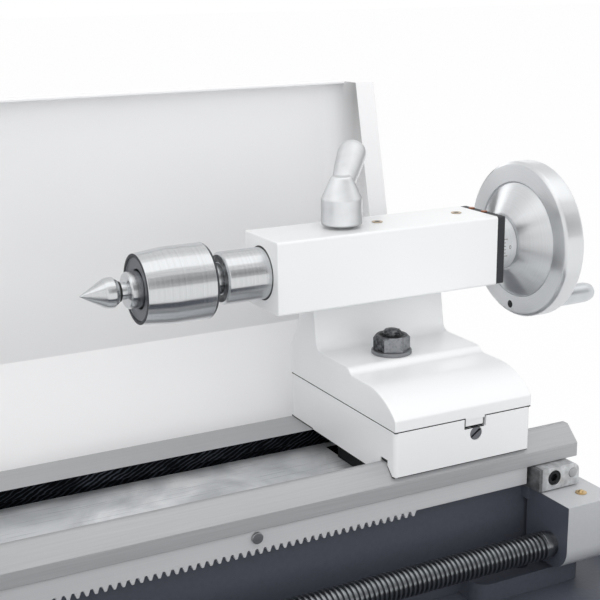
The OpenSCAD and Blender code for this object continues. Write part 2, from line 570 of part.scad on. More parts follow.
module tool_lever() color(BLACK) {
    difference() {
        zcyl(post_z + 40.2, post_z + 62, 13, car_x - 5, swing_y);
        zcyl(post_z + 40, post_z + 53, 7.06, car_x - 5, swing_y);
    }
    translate([car_x - 5, swing_y, post_z + 57.5]) rotate([0, 0, -70]) rotate([0, 62, 0]) {
        cylinder(h = 62, r = 4);
        translate([0, 0, 66]) sphere(9);
    }
}

// tailstock
tx0 = tail_x + base_x;
tx1 = tx0 + base_l;
t_front = bed_front + 0.2;
t_rear = bed_rear + 0.3;
ledge = seam_z + 22.5;
// lower shelf in front of the ledge, and the round that drops from it to the front face
shelf = ledge - 3.5;
foot_y0 = -54;
foot_r = 41;
nut_x = tail_x + 75.4;
nut_y = -19.4;
tab_x = tail_x + 84;
lock_x = tail_x + 52.5;
module tailstock_body() color(WHITE) difference() {
    union() {
        along_x(tx0, tx1) polygon(concat([[t_front, seam_z]],
            arc(foot_y0, shelf - foot_r, foot_r, foot_r, acos((t_front - foot_y0) / foot_r), 90, 12),
            arc(-38, shelf + 5, 5, 5, -90, -45, 3), arc(-30.4, ledge - 5, 5, 5, 135, 90, 3),
            arc(0, ledge + 6, 6, 6, -90, 0, 6),
            [[10.5, axis_h - bh + 1], [bh - 0.5, axis_h - 8], [t_rear - 10, axis_h - 40], [t_rear, axis_h - 58],
                [t_rear, seam_z]]));
        along_x(tail_x, tail_x + barrel_l) translate([0, axis_h]) rrect([-bh, -bh], [bh, bh], 1.6);
        box([tab_x, t_front + 0.6, seam_z - 5.5], [tab_x + 12.7, t_front + 14, seam_z + 1]);
    }
    xcyl(tail_x - 1, tail_x + 139, quill_r + 0.04, 0, axis_h);
    xcyl(tail_x + 138, tail_x + barrel_l + 1, 12.5, 0, axis_h);
    zcyl(axis_h + 10, axis_h + bh + 1, 4.3, lock_x, 0);
    for (x = [78, 134.5]) zcyl(axis_h + quill_r - 2, axis_h + bh + 1, 3.02, tail_x + x, 2);
    zcyl(seam_z - 1, ledge + 2, 6.3, nut_x, nut_y);
}
module tailstock_base() color(WHITE) difference() {
    intersection() {
        along_x(tx0, tx1) difference() {
            rect([t_front, way_z], [t_rear, seam_z]);
            way_groove(0.14);
            rect([t_front - 1, way_z - 1], [v_y, way_z + 2.4]);
        }
        along_zr([tx0, t_front], [tx1, t_rear], way_z - 1, seam_z + 1, 3);
    }
    box([tab_x - 0.6, t_front - 1, seam_z - 6.6], [tab_x + 14, t_front + 15, seam_z + 1]);
    zcyl(way_z - 1, seam_z + 1, 6.3, nut_x, nut_y);
    ycyl(t_front - 1, t_front + 20, 4.02, tail_x + 91.4, way_z + 19);
}
module end_plate() color(BLACK) difference() {
    along_x(tail_x + barrel_l + 0.1, tail_x + barrel_l + 5.6) translate([0, axis_h]) difference() {
        rrect([-bh + 0.3, -bh + 0.3], [bh - 0.3, bh - 0.3], 1.2);
        circle(7);
    }
    for (y = [-3, 10]) zcyl(axis_h + bh - 6, axis_h + bh, 2.02, tail_x + barrel_l + 2.8, y);
}
module tailstock_screws() color(BRASS) {
    for (y = [-3, 10]) zcyl(axis_h + bh - 5.5, axis_h + bh + 0.5, 2, tail_x + barrel_l + 2.8, y);
    difference() {
        ycyl(t_front + 0.4, t_front + 18, 4, tail_x + 91.4, way_z + 19);
        translate([tail_x + 91.4, t_front + 0.4, way_z + 19]) rotate([0, -35, 0]) cube([10, 3, 1.2], center = true);
    }
}
module clamp_bolt() color(STEEL) {
    zcyl(floor_z + 1, ledge + 14.8, 5.95, nut_x, nut_y);
    translate([nut_x, nut_y, ledge + 14.8 - eps]) cylinder(h = 1.4, r1 = 5.95, r2 = 4.6);
    difference() {
        zcyl(ledge, ledge + 2.3, 12, nut_x, nut_y);
        zcyl(ledge - 1, ledge + 3, 6.4, nut_x, nut_y);
    }
}
module clamp_nut() color(BLACK) difference() {
    intersection() {
        translate([nut_x, nut_y, ledge + 2.35]) rotate([0, 0, -25]) cylinder(h = 8.8, r = 9.5 / cos(30), $fn = 6);
        translate([nut_x, nut_y, 0]) rotate_extrude() polygon([[0, ledge], [11, ledge], [11, ledge + 9.4], [9.2, ledge + 11.15],
            [0, ledge + 11.15]]);
    }
    zcyl(ledge, ledge + 14, 6, nut_x, nut_y);
}
// plate that reaches under both lips of the bed, with a guide tongue behind the front way
module clamp_plate() color(DARK) difference() {
    union() {
        box([nut_x - 20, bed_front + 24.5, floor_z + 1], [nut_x + 20, wall_r - 13.5, lip_z - 0.2]);
        box([tx0 + 0.3, bed_front + 30.6, lip_z - 0.2 - eps], [tx1 - 0.3, nut_y - 0.6, way_z - 0.05]);
    }
    zcyl(floor_z, way_z, 6, nut_x, nut_y);
}
module tailstock_oilers() color(BRASS) for (x = [78, 134.5]) {
    zcyl(axis_h + quill_r + 1.5, axis_h + bh + 0.1, 3, tail_x + x, 2);
    zcyl(axis_h + bh + 0.1 - eps, axis_h + bh + 0.4, 3.3, tail_x + x, 2);
}
module quill() color(STEEL) spin_x([[8.95, tail_x - quill_out], [quill_r - 1, tail_x - quill_out],
    [quill_r - 0.02, tail_x - quill_out + 1], [quill_r - 0.02, tail_x + 108], [7, tail_x + 108], [7, tail_x - quill_out + 66],
    [7.4, tail_x - quill_out + 65]], 0, axis_h);
module live_centre_body() color(STEEL) spin_x([[17.5, tail_x - 75.4], [19.6, tail_x - 75.4], [centre_r, tail_x - 57.7],
    [centre_r, tail_x - 36], [centre_r - 1.2, tail_x - 34.8], [9.05, tail_x - 34.8], [8.9, tail_x - quill_out],
    [7.3, tail_x - quill_out + 62], [0, tail_x - quill_out + 62], [0, tail_x - 44], [17.5, tail_x - 44]], 0, axis_h);
module live_centre_cap() color(DARK) spin_x([[11, tail_x - 74.2], [17.4, tail_x - 74.6], [17.4, tail_x - 50], [11, tail_x - 50],
    [11, tail_x - 62], [10.5, tail_x - 63], [10.5, tail_x - 72]], 0, axis_h);
module live_centre_point() color(STEEL) spin_x([[0, tail_x - 107], [8, tail_x - 93.4], [8.4, tail_x - 91], [8.4, tail_x - 88.6],
    [6.6, tail_x - 86.2], [4.8, tail_x - 86], [4.8, tail_x - 81.4], [9.4, tail_x - 81.2], [10.2, tail_x - 80.2],
    [10.2, tail_x - 46], [0, tail_x - 46]], 0, axis_h);
module tailstock_handwheel() color(ALU) difference() {
    union() {
        spin_x([[6.6, tail_x + 167.9], [17, tail_x + 167.9], [18, tail_x + 168.1], [36, tail_x + 179.8], [36.4, tail_x + 180.6],
            [36.9, tail_x + 179.3], [wheel_r - 1.5, tail_x + 179.3], [wheel_r, tail_x + 180.8], [wheel_r, tail_x + 192.5],
            [wheel_r - 1.5, tail_x + 194], [40, tail_x + 194], [37, tail_x + 187], [19, tail_x + 175], [16, tail_x + 176],
            [16, tail_x + 196], [6.6, tail_x + 196]], 0, axis_h);
        spin_x([[0, tail_x + 192], [4.5, tail_x + 192], [5.4, tail_x + 198], [6.8, tail_x + 228], [6.6, tail_x + 240],
            [5, tail_x + 245.5], [0, tail_x + 247]], 3.7, axis_h - 43.1);
    }
    xcyl(tail_x + 179, tail_x + 181.3, 2.7, 3.7, axis_h - 43.1);
}
module tailstock_dial() color(ALU) spin_x([[6.6, tail_x + 155.4], [16.4, tail_x + 155.4], [17, tail_x + 156], [17, tail_x + 167.4],
    [16.6, tail_x + 167.8], [6.6, tail_x + 167.8]], 0, axis_h);
module feed_screw() color(STEEL) {
    xcyl(tail_x + 42, tail_x + 202, 6.5, 0, axis_h);
    xcyl(tail_x + 139.4, tail_x + 148.8, 12, 0, axis_h);
    translate([tail_x + 196.1, 0, axis_h]) rotate([0, 90, 0]) cylinder(h = 6, r = 10, $fn = 6);
}
module lock_lever() color(ALU) {
    zcyl(axis_h + quill_r + 0.6, axis_h + bh + 1.8, 4, lock_x, 0);
    translate([lock_x, 0, axis_h]) rotate_extrude() polygon([[0, bh + 1.6], [11.2, bh + 1.6], [12, bh + 2.4], [12, bh + 17],
        [6.4, bh + 29], [5.6, bh + 29.8], [0, bh + 29.8]]);
    translate([lock_x, 0, axis_h + bh]) rotate([0, 0, 52]) {
        translate([0, 0, 22]) rotate([0, 71, 0]) rotate_extrude() polygon([[0, 0], [6.4, 0], [8.2, 28], [8.8, 44], [8.2, 48.4],
            [5.6, 51.6], [0, 52.8]]);
        // web from the shoulder to the handle
        along_y(-3.2, 3.2) polygon([[0, 15], [11.8, 15.6], [26, 25.4], [20, 29], [0, 26]]);
    }
}

bed();
rack();
bracket_right();
bracket_left();
bed_fasteners();
bed_oilers();
chip_tray();
feet();
splash_guard();
headstock();
gear_cover();
spindle_bearings();
motor();
drive_belt();
control_panel();
spindle();
chuck_body();
spindle_pulley();
spindle_gear();
jaw_1();
jaw_2();
jaw_3();
motor_pulley();
idler_gear();
leadscrew();
leadscrew_gear();
saddle();
apron();
saddle_keepers();
carriage_handwheel();
carriage_pinion();
half_nut_lever();
half_nut_upper();
half_nut_lower();
cross_slide();
cross_feed();
swivel_base();
top_slide();
top_feed();
tool_post();
tool_screws();
tool_lever();
tailstock_body();
tailstock_base();
end_plate();
tailstock_screws();
clamp_bolt();
clamp_plate();
clamp_nut();
tailstock_oilers();
quill();
live_centre_body();
live_centre_cap();
live_centre_point();
tailstock_handwheel();
tailstock_dial();
feed_screw();
lock_lever();
speed_knob();
emergency_stop();
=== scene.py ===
"""Looks of the bench lathe: eased castings, turned and ground steel, dials, threads, studio stage."""

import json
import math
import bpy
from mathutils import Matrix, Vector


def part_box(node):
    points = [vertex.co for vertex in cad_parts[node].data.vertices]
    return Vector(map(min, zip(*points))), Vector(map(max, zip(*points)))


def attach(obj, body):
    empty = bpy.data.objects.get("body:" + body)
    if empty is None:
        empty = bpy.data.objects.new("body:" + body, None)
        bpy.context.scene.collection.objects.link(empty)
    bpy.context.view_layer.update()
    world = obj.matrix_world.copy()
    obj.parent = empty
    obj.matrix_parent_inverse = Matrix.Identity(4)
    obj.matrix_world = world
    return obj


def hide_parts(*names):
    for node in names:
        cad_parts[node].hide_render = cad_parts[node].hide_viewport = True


bl_info = {
    "name": "Bench lathe looks",
    "version": (1, 0, 0),
    "blender": (4, 5, 0),
    "location": "View3D > Sidebar > Lathe",
    "description": "Dresses the bench lathe's fixed frame with finished pieces and materials",
    "category": "Object",
}

import bmesh
import bpy
from mathutils import Matrix, Vector

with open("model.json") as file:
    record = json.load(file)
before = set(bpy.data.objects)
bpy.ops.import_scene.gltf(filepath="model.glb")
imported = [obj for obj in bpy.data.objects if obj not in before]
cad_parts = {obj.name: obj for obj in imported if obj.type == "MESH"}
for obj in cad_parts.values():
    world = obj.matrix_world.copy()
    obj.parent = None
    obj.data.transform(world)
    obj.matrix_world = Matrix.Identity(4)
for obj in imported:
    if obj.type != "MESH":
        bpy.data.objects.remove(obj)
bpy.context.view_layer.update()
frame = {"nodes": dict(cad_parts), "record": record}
MM = 0.001

# reference places read from the frame, in metres
AXIS_Z = sum(b[2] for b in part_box("quill")) / 2
TAIL_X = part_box("tailstock_body")[0][0]
WAY_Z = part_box("tailstock_base")[0][2]
# the front rail's face is 15 mm behind the edge of the bed's foot pads
FRONT_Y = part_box("bed")[0][1] + 15 * MM
# the tailstock's base and body meet at the seam, and the foot's ledge is 22.5 mm above it
SEAM_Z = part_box("tailstock_base")[1][2]
LEDGE_Z = SEAM_Z + 22.5 * MM
# the body that each node belongs to
BODY = {n: b for b, ns in frame["record"]["behaviour"]["bodies"].items() for n in ns}

# corners this close are one corner, and faces this close to level with each other are one face
SAME_POINT = 0.002 * MM
SAME_PLANE = math.radians(0.6)

# sockets of a colour Mix node: share, first and second colour, result
SHARE, FIRST, SECOND, MIXED = 0, 6, 7, 2


def tone(code, share=1.0):
    """An sRGB hex colour, or a share of its light, as linear RGBA."""
    c = [int(code[i : i + 2], 16) / 255 for i in (1, 3, 5)]
    return [share * (v / 12.92 if v <= 0.04045 else ((v + 0.055) / 1.055) ** 2.4) for v in c] + [1.0]


def per(size):
    """A pattern's scale from the size of one mark, in millimetres."""
    return 1 / (size * MM)


def tail(x):
    """Station along the tailstock, in millimetres from the barrel's face, as a model X in millimetres."""
    return TAIL_X / MM + x


class LatheColours(bpy.types.PropertyGroup):
    """Paint and metal colours, as sRGB hex values."""

    enamel: bpy.props.StringProperty(name="Enamel", description="Paint on the castings", default="#F4F5F6")
    panel: bpy.props.StringProperty(name="Guard paint", description="Paint on the sheet guard",
                                    default="#F8F8F9")
    slate: bpy.props.StringProperty(name="Slate paint", description="Paint on bed and tray",
                                    default="#545863")
    steel: bpy.props.StringProperty(name="Turned steel", description="Quill and live centre",
                                    default="#D6D8DA")
    ground: bpy.props.StringProperty(name="Ground steel", description="Ways and slides", default="#B2B3B5")
    aluminium: bpy.props.StringProperty(name="Aluminium", description="Handwheels", default="#E4E6E8")
    oxide: bpy.props.StringProperty(name="Black oxide", description="Nuts and plates", default="#2C2D30")
    brass: bpy.props.StringProperty(name="Brass", description="Oilers and screws", default="#D0B487")


class LatheSizes(bpy.types.PropertyGroup):
    """Sizes of the finishing work, in metres."""

    casting_edge: bpy.props.FloatProperty(
        name="Casting edge", description="Round on cast edges", default=0.0011, unit="LENGTH")
    machined_edge: bpy.props.FloatProperty(
        name="Machined edge", description="Break on machined edges", default=0.0005, unit="LENGTH")
    thread_pitch: bpy.props.FloatProperty(
        name="Leadscrew pitch", description="Thread spacing", default=0.003, unit="LENGTH")
    dial_marks: bpy.props.IntProperty(
        name="Dial marks", description="Graduations round the tailstock dial", default=50)


class StageSettings(bpy.types.PropertyGroup):
    """Camera lens, heading, height, roll and place."""

    lens: bpy.props.FloatProperty(
        name="Lens", description="Focal length on a 36 mm sensor", default=73.33, subtype="DISTANCE_CAMERA")
    azimuth: bpy.props.FloatProperty(
        name="Azimuth", description="Camera heading from the bed's normal", default=math.radians(27.51),
        subtype="ANGLE")
    elevation: bpy.props.FloatProperty(
        name="Elevation", description="Camera height angle", default=math.radians(14.82), subtype="ANGLE")
    roll: bpy.props.FloatProperty(
        name="Roll", description="Camera roll", default=math.radians(0.64), subtype="ANGLE")
    stand: bpy.props.FloatVectorProperty(
        name="Stand", description="Camera place from the barrel's face on the axis",
        default=(-0.2925, -0.609, 0.1625), subtype="XYZ")


# materials

def put(tree, kind, values=None, links=None, stops=None, **settings):
    """Adds a node with settings, socket values, links and colour stops; a node links by its first output."""
    n = tree.nodes.new(kind)
    for k, v in settings.items():
        setattr(n, k, v)
    for k, v in (values or {}).items():
        n.inputs[k].default_value = v
    for k, s in (links or {}).items():
        tree.links.new(s.outputs[0] if isinstance(s, bpy.types.Node) else s, n.inputs[k])
    if stops:
        ramp = n.color_ramp
        while len(ramp.elements) < len(stops):
            ramp.elements.new(0.5)
        for e, (p, c) in zip(ramp.elements, stops):
            e.position, e.color = p, c
    return n


def blank(name):
    """An empty node material, its tree and its Object coordinates."""
    m = bpy.data.materials.new(name)
    m.use_nodes = True
    m.node_tree.nodes.clear()
    co = put(m.node_tree, "ShaderNodeTexCoord").outputs["Object"]
    return m, m.node_tree, co


# gloss enamel sprayed over filled castings: a near-even white, soft waves and orange peel under a clear
# shine; past a given X the faces that look left are painted greyer, most near the top and the front edge,
# a painted shade for the shade inside the guard's fold
def gloss_enamel(name, code, rough=0.3, peel=0.04, painted_shade_x=None):
    m, t, co = blank(name)
    broad = put(t, "ShaderNodeTexNoise", {"Scale": per(60), "Detail": 1}, {"Vector": co})
    fine = put(t, "ShaderNodeTexNoise", {"Scale": per(1.8), "Detail": 2}, {"Vector": co})
    colour = put(t, "ShaderNodeValToRGB", links={"Fac": broad},
                 stops=[(0.0, tone(code, 0.97)), (1.0, tone(code))])
    gloss = put(t, "ShaderNodeMapRange", {"To Min": rough - 0.04, "To Max": rough + 0.04}, {"Value": broad})
    waves = put(t, "ShaderNodeBump", {"Strength": 0.01, "Distance": 1.5 * MM}, {"Height": broad})
    skin = put(t, "ShaderNodeBump", {"Strength": peel, "Distance": 0.4 * MM},
               {"Height": fine, "Normal": waves})
    if painted_shade_x is not None:
        parts = put(t, "ShaderNodeSeparateXYZ", links={"Vector": co})
        own = put(t, "ShaderNodeTexCoord").outputs["Normal"]
        look = put(t, "ShaderNodeVectorMath", {1: (-1, 0, 0)}, {0: own}, operation="DOT_PRODUCT")
        past = put(t, "ShaderNodeMath", {1: painted_shade_x}, {0: parts.outputs["X"]}, operation="GREATER_THAN")
        fold = put(t, "ShaderNodeMath", links={0: past, 1: look.outputs["Value"]}, operation="MULTIPLY",
                   use_clamp=True)
        high = put(t, "ShaderNodeMapRange",
                   {"From Min": 210 * MM, "From Max": 300 * MM, "To Min": 0.08, "To Max": 0.62},
                   {"Value": parts.outputs["Z"]})
        rim = put(t, "ShaderNodeMapRange",
                  {"From Min": 84 * MM, "From Max": 108.5 * MM, "To Min": 1.0, "To Max": 0.12},
                  {"Value": parts.outputs["Y"]})
        most = put(t, "ShaderNodeMath", links={0: high, 1: rim}, operation="MULTIPLY")
        # painted shade: the colour darkens in the guard's fold instead of the light doing it
        painted_shade = put(t, "ShaderNodeMath", links={0: fold, 1: most}, operation="MULTIPLY")
        unshaded = put(t, "ShaderNodeMath", {0: 1.0}, {1: painted_shade}, operation="SUBTRACT")
        colour = put(t, "ShaderNodeVectorMath", links={0: colour, "Scale": unshaded}, operation="SCALE")
    surface = put(t, "ShaderNodeBsdfPrincipled", {"Coat Weight": 0.1, "Coat Roughness": 0.2, "IOR": 1.5},
                  {"Base Color": colour, "Roughness": gloss, "Normal": skin})
    put(t, "ShaderNodeOutputMaterial", links={"Surface": surface})
    return m


# sand-cast iron under one thick dark coat: grainy skin, dull sheen, broad lighter and darker clouds
def slate_enamel(name, code):
    m, t, co = blank(name)
    grain = put(t, "ShaderNodeTexNoise", {"Scale": per(2.5), "Detail": 4}, {"Vector": co})
    broad = put(t, "ShaderNodeTexNoise", {"Scale": per(50), "Detail": 3}, {"Vector": co})
    shade = put(t, "ShaderNodeValToRGB", links={"Fac": broad},
                stops=[(0.3, tone(code, 0.82)), (0.75, tone(code, 1.1))])
    bump = put(t, "ShaderNodeBump", {"Strength": 0.25, "Distance": 0.6 * MM}, {"Height": grain})
    surface = put(t, "ShaderNodeBsdfPrincipled", {"Roughness": 0.42, "IOR": 1.5},
                  {"Base Color": shade, "Normal": bump})
    put(t, "ShaderNodeOutputMaterial", links={"Surface": surface})
    return m


# metal turned between centres: rings across the axis, or round it on a face, drawn 0.9 mm apart so that they
# show, and a shine drawn out across them
def turned_metal(name, code, rough, spread, face=False, mark=0.05, metal=1.0):
    m, t, co = blank(name)
    parts = put(t, "ShaderNodeSeparateXYZ", links={"Vector": co})
    along = parts.outputs["X"]
    if face:
        up = put(t, "ShaderNodeMath", {1: AXIS_Z}, {0: parts.outputs["Z"]}, operation="SUBTRACT")
        flat = put(t, "ShaderNodeCombineXYZ", links={"X": parts.outputs["Y"], "Y": up})
        along = put(t, "ShaderNodeVectorMath", links={0: flat}, operation="LENGTH").outputs["Value"]
    place = put(t, "ShaderNodeMath", {1: per(0.9)}, {0: along}, operation="MULTIPLY")
    rings = put(t, "ShaderNodeTexNoise", {"Scale": 1.0, "Detail": 3}, {"W": place}, noise_dimensions="1D")
    shade = put(t, "ShaderNodeValToRGB", links={"Fac": rings},
                stops=[(0.2, tone(code, 1 - 2 * mark)), (0.8, tone(code))])
    gloss = put(t, "ShaderNodeMapRange", {"To Min": rough - mark, "To Max": rough + mark}, {"Value": rings})
    bump = put(t, "ShaderNodeBump", {"Strength": mark, "Distance": 0.2 * MM}, {"Height": rings})
    tangent = put(t, "ShaderNodeTangent", direction_type="RADIAL", axis="X")
    surface = put(t, "ShaderNodeBsdfPrincipled",
                  {"Metallic": metal, "Anisotropic": spread, "Anisotropic Rotation": 0.25},
                  {"Base Color": shade, "Roughness": gloss, "Normal": bump, "Tangent": tangent})
    put(t, "ShaderNodeOutputMaterial", links={"Surface": surface})
    return m


# surface-ground steel: fine lines the way the wheel ran, drawn 0.7 to 1.1 mm apart so that they show;
# lines is how many run across a metre, for each axis
def ground_metal(name, code, rough=0.3, lines=(8, 1400, 1400), metal=1.0):
    m, t, co = blank(name)
    place = put(t, "ShaderNodeMapping", {"Scale": lines}, {"Vector": co})
    streak = put(t, "ShaderNodeTexNoise", {"Scale": 1.0, "Detail": 3}, {"Vector": place})
    broad = put(t, "ShaderNodeTexNoise", {"Scale": per(40), "Detail": 3}, {"Vector": co})
    both = put(t, "ShaderNodeMath", links={0: streak, 1: broad}, operation="MULTIPLY")
    shade = put(t, "ShaderNodeValToRGB", links={"Fac": streak},
                stops=[(0.2, tone(code, 0.92)), (0.8, tone(code))])
    gloss = put(t, "ShaderNodeMapRange", {"From Max": 0.5, "To Min": rough - 0.06, "To Max": rough + 0.16},
                {"Value": both})
    bump = put(t, "ShaderNodeBump", {"Strength": 0.08, "Distance": 0.3 * MM}, {"Height": streak})
    surface = put(t, "ShaderNodeBsdfPrincipled", {"Metallic": metal},
                  {"Base Color": shade, "Roughness": gloss, "Normal": bump})
    put(t, "ShaderNodeOutputMaterial", links={"Surface": surface})
    return m


# as-cast or blasted metal: even satin grain, its size in millimetres; where facing is given, the faces that
# turn away from it are painted darker, down to dull, a painted shade for the darker sides
def satin_metal(name, code, rough=0.42, metal=1.0, grain=0.6, depth=0.12, facing=None, dull=1.0):
    m, t, co = blank(name)
    fine = put(t, "ShaderNodeTexNoise", {"Scale": per(grain), "Detail": 2}, {"Vector": co})
    broad = put(t, "ShaderNodeTexNoise", {"Scale": per(12), "Detail": 3}, {"Vector": co})
    colour = put(t, "ShaderNodeValToRGB", links={"Fac": broad},
                 stops=[(0.3, tone(code, 0.86)), (0.7, tone(code))])
    gloss = put(t, "ShaderNodeMapRange", {"To Min": rough - 0.06, "To Max": rough + 0.1}, {"Value": broad})
    bump = put(t, "ShaderNodeBump", {"Strength": depth, "Distance": 0.3 * MM}, {"Height": fine})
    # painted shade: faces that turn away from facing get a darker colour
    if facing:
        own = put(t, "ShaderNodeTexCoord").outputs["Normal"]
        look = put(t, "ShaderNodeVectorMath", {1: facing}, {0: own}, operation="DOT_PRODUCT")
        painted_side_shade = put(t, "ShaderNodeMapRange",
                   {"From Min": 0.35, "From Max": 0.85, "To Min": dull, "To Max": 1.0},
                   {"Value": look.outputs["Value"]})
        colour = put(t, "ShaderNodeVectorMath", links={0: colour, "Scale": painted_side_shade}, operation="SCALE")
    surface = put(t, "ShaderNodeBsdfPrincipled", {"Metallic": metal},
                  {"Base Color": colour, "Roughness": gloss, "Normal": bump})
    put(t, "ShaderNodeOutputMaterial", links={"Surface": surface})
    return m


# moulded plastic or rubber: fine spark texture, drawn 0.9 mm across so that it shows
def moulded(name, code, rough=0.5):
    m, t, co = blank(name)
    fine = put(t, "ShaderNodeTexNoise", {"Scale": per(0.9), "Detail": 2}, {"Vector": co})
    shade = put(t, "ShaderNodeValToRGB", links={"Fac": fine},
                stops=[(0.3, tone(code, 0.88)), (0.7, tone(code))])
    bump = put(t, "ShaderNodeBump", {"Strength": 0.15, "Distance": 0.2 * MM}, {"Height": fine})
    surface = put(t, "ShaderNodeBsdfPrincipled", {"Roughness": rough, "IOR": 1.48},
                  {"Base Color": shade, "Normal": bump})
    put(t, "ShaderNodeOutputMaterial", links={"Surface": surface})
    return m


# bed casting: dark coat below, ground ways with a fine grey grain, a glossy planed channel between them whose
# back wall is near black and nearly metallic, with lighter slanting marks in patches
def bed_iron(name, paint, steel):
    rail_foot, rail_back = WAY_Z - 20.5 * MM, FRONT_Y + 32.5 * MM
    channel_top, channel_front = WAY_Z - 10.5 * MM, -30 * MM
    facing = 0.7
    m, t, co = blank(name)
    parts = put(t, "ShaderNodeSeparateXYZ", links={"Vector": co})
    face = put(t, "ShaderNodeSeparateXYZ",
               links={"Vector": put(t, "ShaderNodeNewGeometry").outputs["Normal"]})
    high = put(t, "ShaderNodeMath", {1: rail_foot}, {0: parts.outputs["Z"]}, operation="GREATER_THAN")
    front = put(t, "ShaderNodeMath", {1: rail_back}, {0: parts.outputs["Y"]}, operation="LESS_THAN")
    top = put(t, "ShaderNodeMath", {1: WAY_Z - 0.5 * MM}, {0: parts.outputs["Z"]}, operation="GREATER_THAN")
    low = put(t, "ShaderNodeMath", {1: channel_top}, {0: parts.outputs["Z"]}, operation="LESS_THAN")
    up = put(t, "ShaderNodeMath", {1: facing}, {0: face.outputs["Z"]}, operation="GREATER_THAN")
    floor = put(t, "ShaderNodeMath", links={0: low, 1: up}, operation="MULTIPLY")
    channel = put(t, "ShaderNodeMath", links={0: high, 1: floor}, operation="MULTIPLY")
    rail = put(t, "ShaderNodeMath", links={0: high, 1: front}, operation="MULTIPLY")
    way = put(t, "ShaderNodeMath", links={0: rail, 1: top}, operation="MAXIMUM")
    inside = put(t, "ShaderNodeMath", {1: -facing}, {0: face.outputs["Y"]}, operation="LESS_THAN")
    deep = put(t, "ShaderNodeMath", {1: channel_front}, {0: parts.outputs["Y"]}, operation="GREATER_THAN")
    wall = put(t, "ShaderNodeMath", links={0: inside, 1: deep}, operation="MULTIPLY")
    grain = put(t, "ShaderNodeTexNoise", {"Scale": per(2.5), "Detail": 4}, {"Vector": co})
    # lengthwise grinding lines, 1200 across a metre so that they show
    length = put(t, "ShaderNodeMapping", {"Scale": (25, 1200, 1200)}, {"Vector": co})
    lines = put(t, "ShaderNodeTexNoise", {"Scale": 1.0, "Detail": 4}, {"Vector": length})
    # slanting planer marks about 2.2 mm apart, a wave's band being 0.63 of its size, in patches of 18 mm
    slant = put(t, "ShaderNodeMapping", {"Scale": (-0.5, 0.0, 1.0)}, {"Vector": co})
    marks = put(t, "ShaderNodeTexWave",
                {"Scale": per(4), "Distortion": 4.5, "Detail": 3, "Detail Scale": 0.9},
                {"Vector": slant}, bands_direction="DIAGONAL")
    patchy = put(t, "ShaderNodeTexNoise", {"Scale": per(18), "Detail": 3}, {"Vector": co})
    patchy_marks = put(t, "ShaderNodeMath", links={0: marks.outputs["Fac"], 1: patchy}, operation="MULTIPLY")
    smear = put(t, "ShaderNodeTexNoise", {"Scale": per(45), "Detail": 3, "Distortion": 1.5}, {"Vector": co})
    coat = put(t, "ShaderNodeValToRGB", links={"Fac": grain},
               stops=[(0.2, tone(paint, 0.85)), (0.8, tone(paint))])
    metal = put(t, "ShaderNodeValToRGB", links={"Fac": lines},
                stops=[(0.2, tone(steel, 0.86)), (0.8, tone(steel))])
    black = put(t, "ShaderNodeValToRGB", links={"Fac": patchy_marks},
                stops=[(0.28, tone("#020408")), (0.68, tone("#4A4F57"))])
    planed = put(t, "ShaderNodeValToRGB", links={"Fac": smear},
                 stops=[(0.3, tone("#BFC2C6")), (0.7, tone("#F2F4F6"))])
    ways = put(t, "ShaderNodeMix", links={SHARE: way, FIRST: coat, SECOND: metal},
               data_type="RGBA").outputs[MIXED]
    floors = put(t, "ShaderNodeMix", links={SHARE: channel, FIRST: ways, SECOND: planed},
                 data_type="RGBA").outputs[MIXED]
    walls = put(t, "ShaderNodeMix", links={SHARE: wall, FIRST: floors, SECOND: black},
                data_type="RGBA").outputs[MIXED]
    bare = put(t, "ShaderNodeMath", links={0: way, 1: wall}, operation="SUBTRACT", use_clamp=True)
    dull = put(t, "ShaderNodeMath", {1: 0.2}, {0: bare}, operation="MULTIPLY")
    shine = put(t, "ShaderNodeMath", {1: 0.05}, {0: channel, 2: dull}, operation="MULTIPLY_ADD")
    metallic_share = put(t, "ShaderNodeMath", {1: 0.9}, {0: wall, 2: shine}, operation="MULTIPLY_ADD")
    matte = put(t, "ShaderNodeMapRange", {"To Min": 0.36, "To Max": 0.5}, {"Value": lines})
    gloss = put(t, "ShaderNodeMath", {1: -0.14}, {0: channel, 2: matte}, operation="MULTIPLY_ADD")
    bump = put(t, "ShaderNodeBump", {"Strength": 0.12, "Distance": 0.4 * MM}, {"Height": grain})
    surface = put(t, "ShaderNodeBsdfPrincipled", {"IOR": 1.5},
                  {"Base Color": walls, "Metallic": metallic_share, "Roughness": gloss, "Normal": bump})
    put(t, "ShaderNodeOutputMaterial", links={"Surface": surface})
    return m
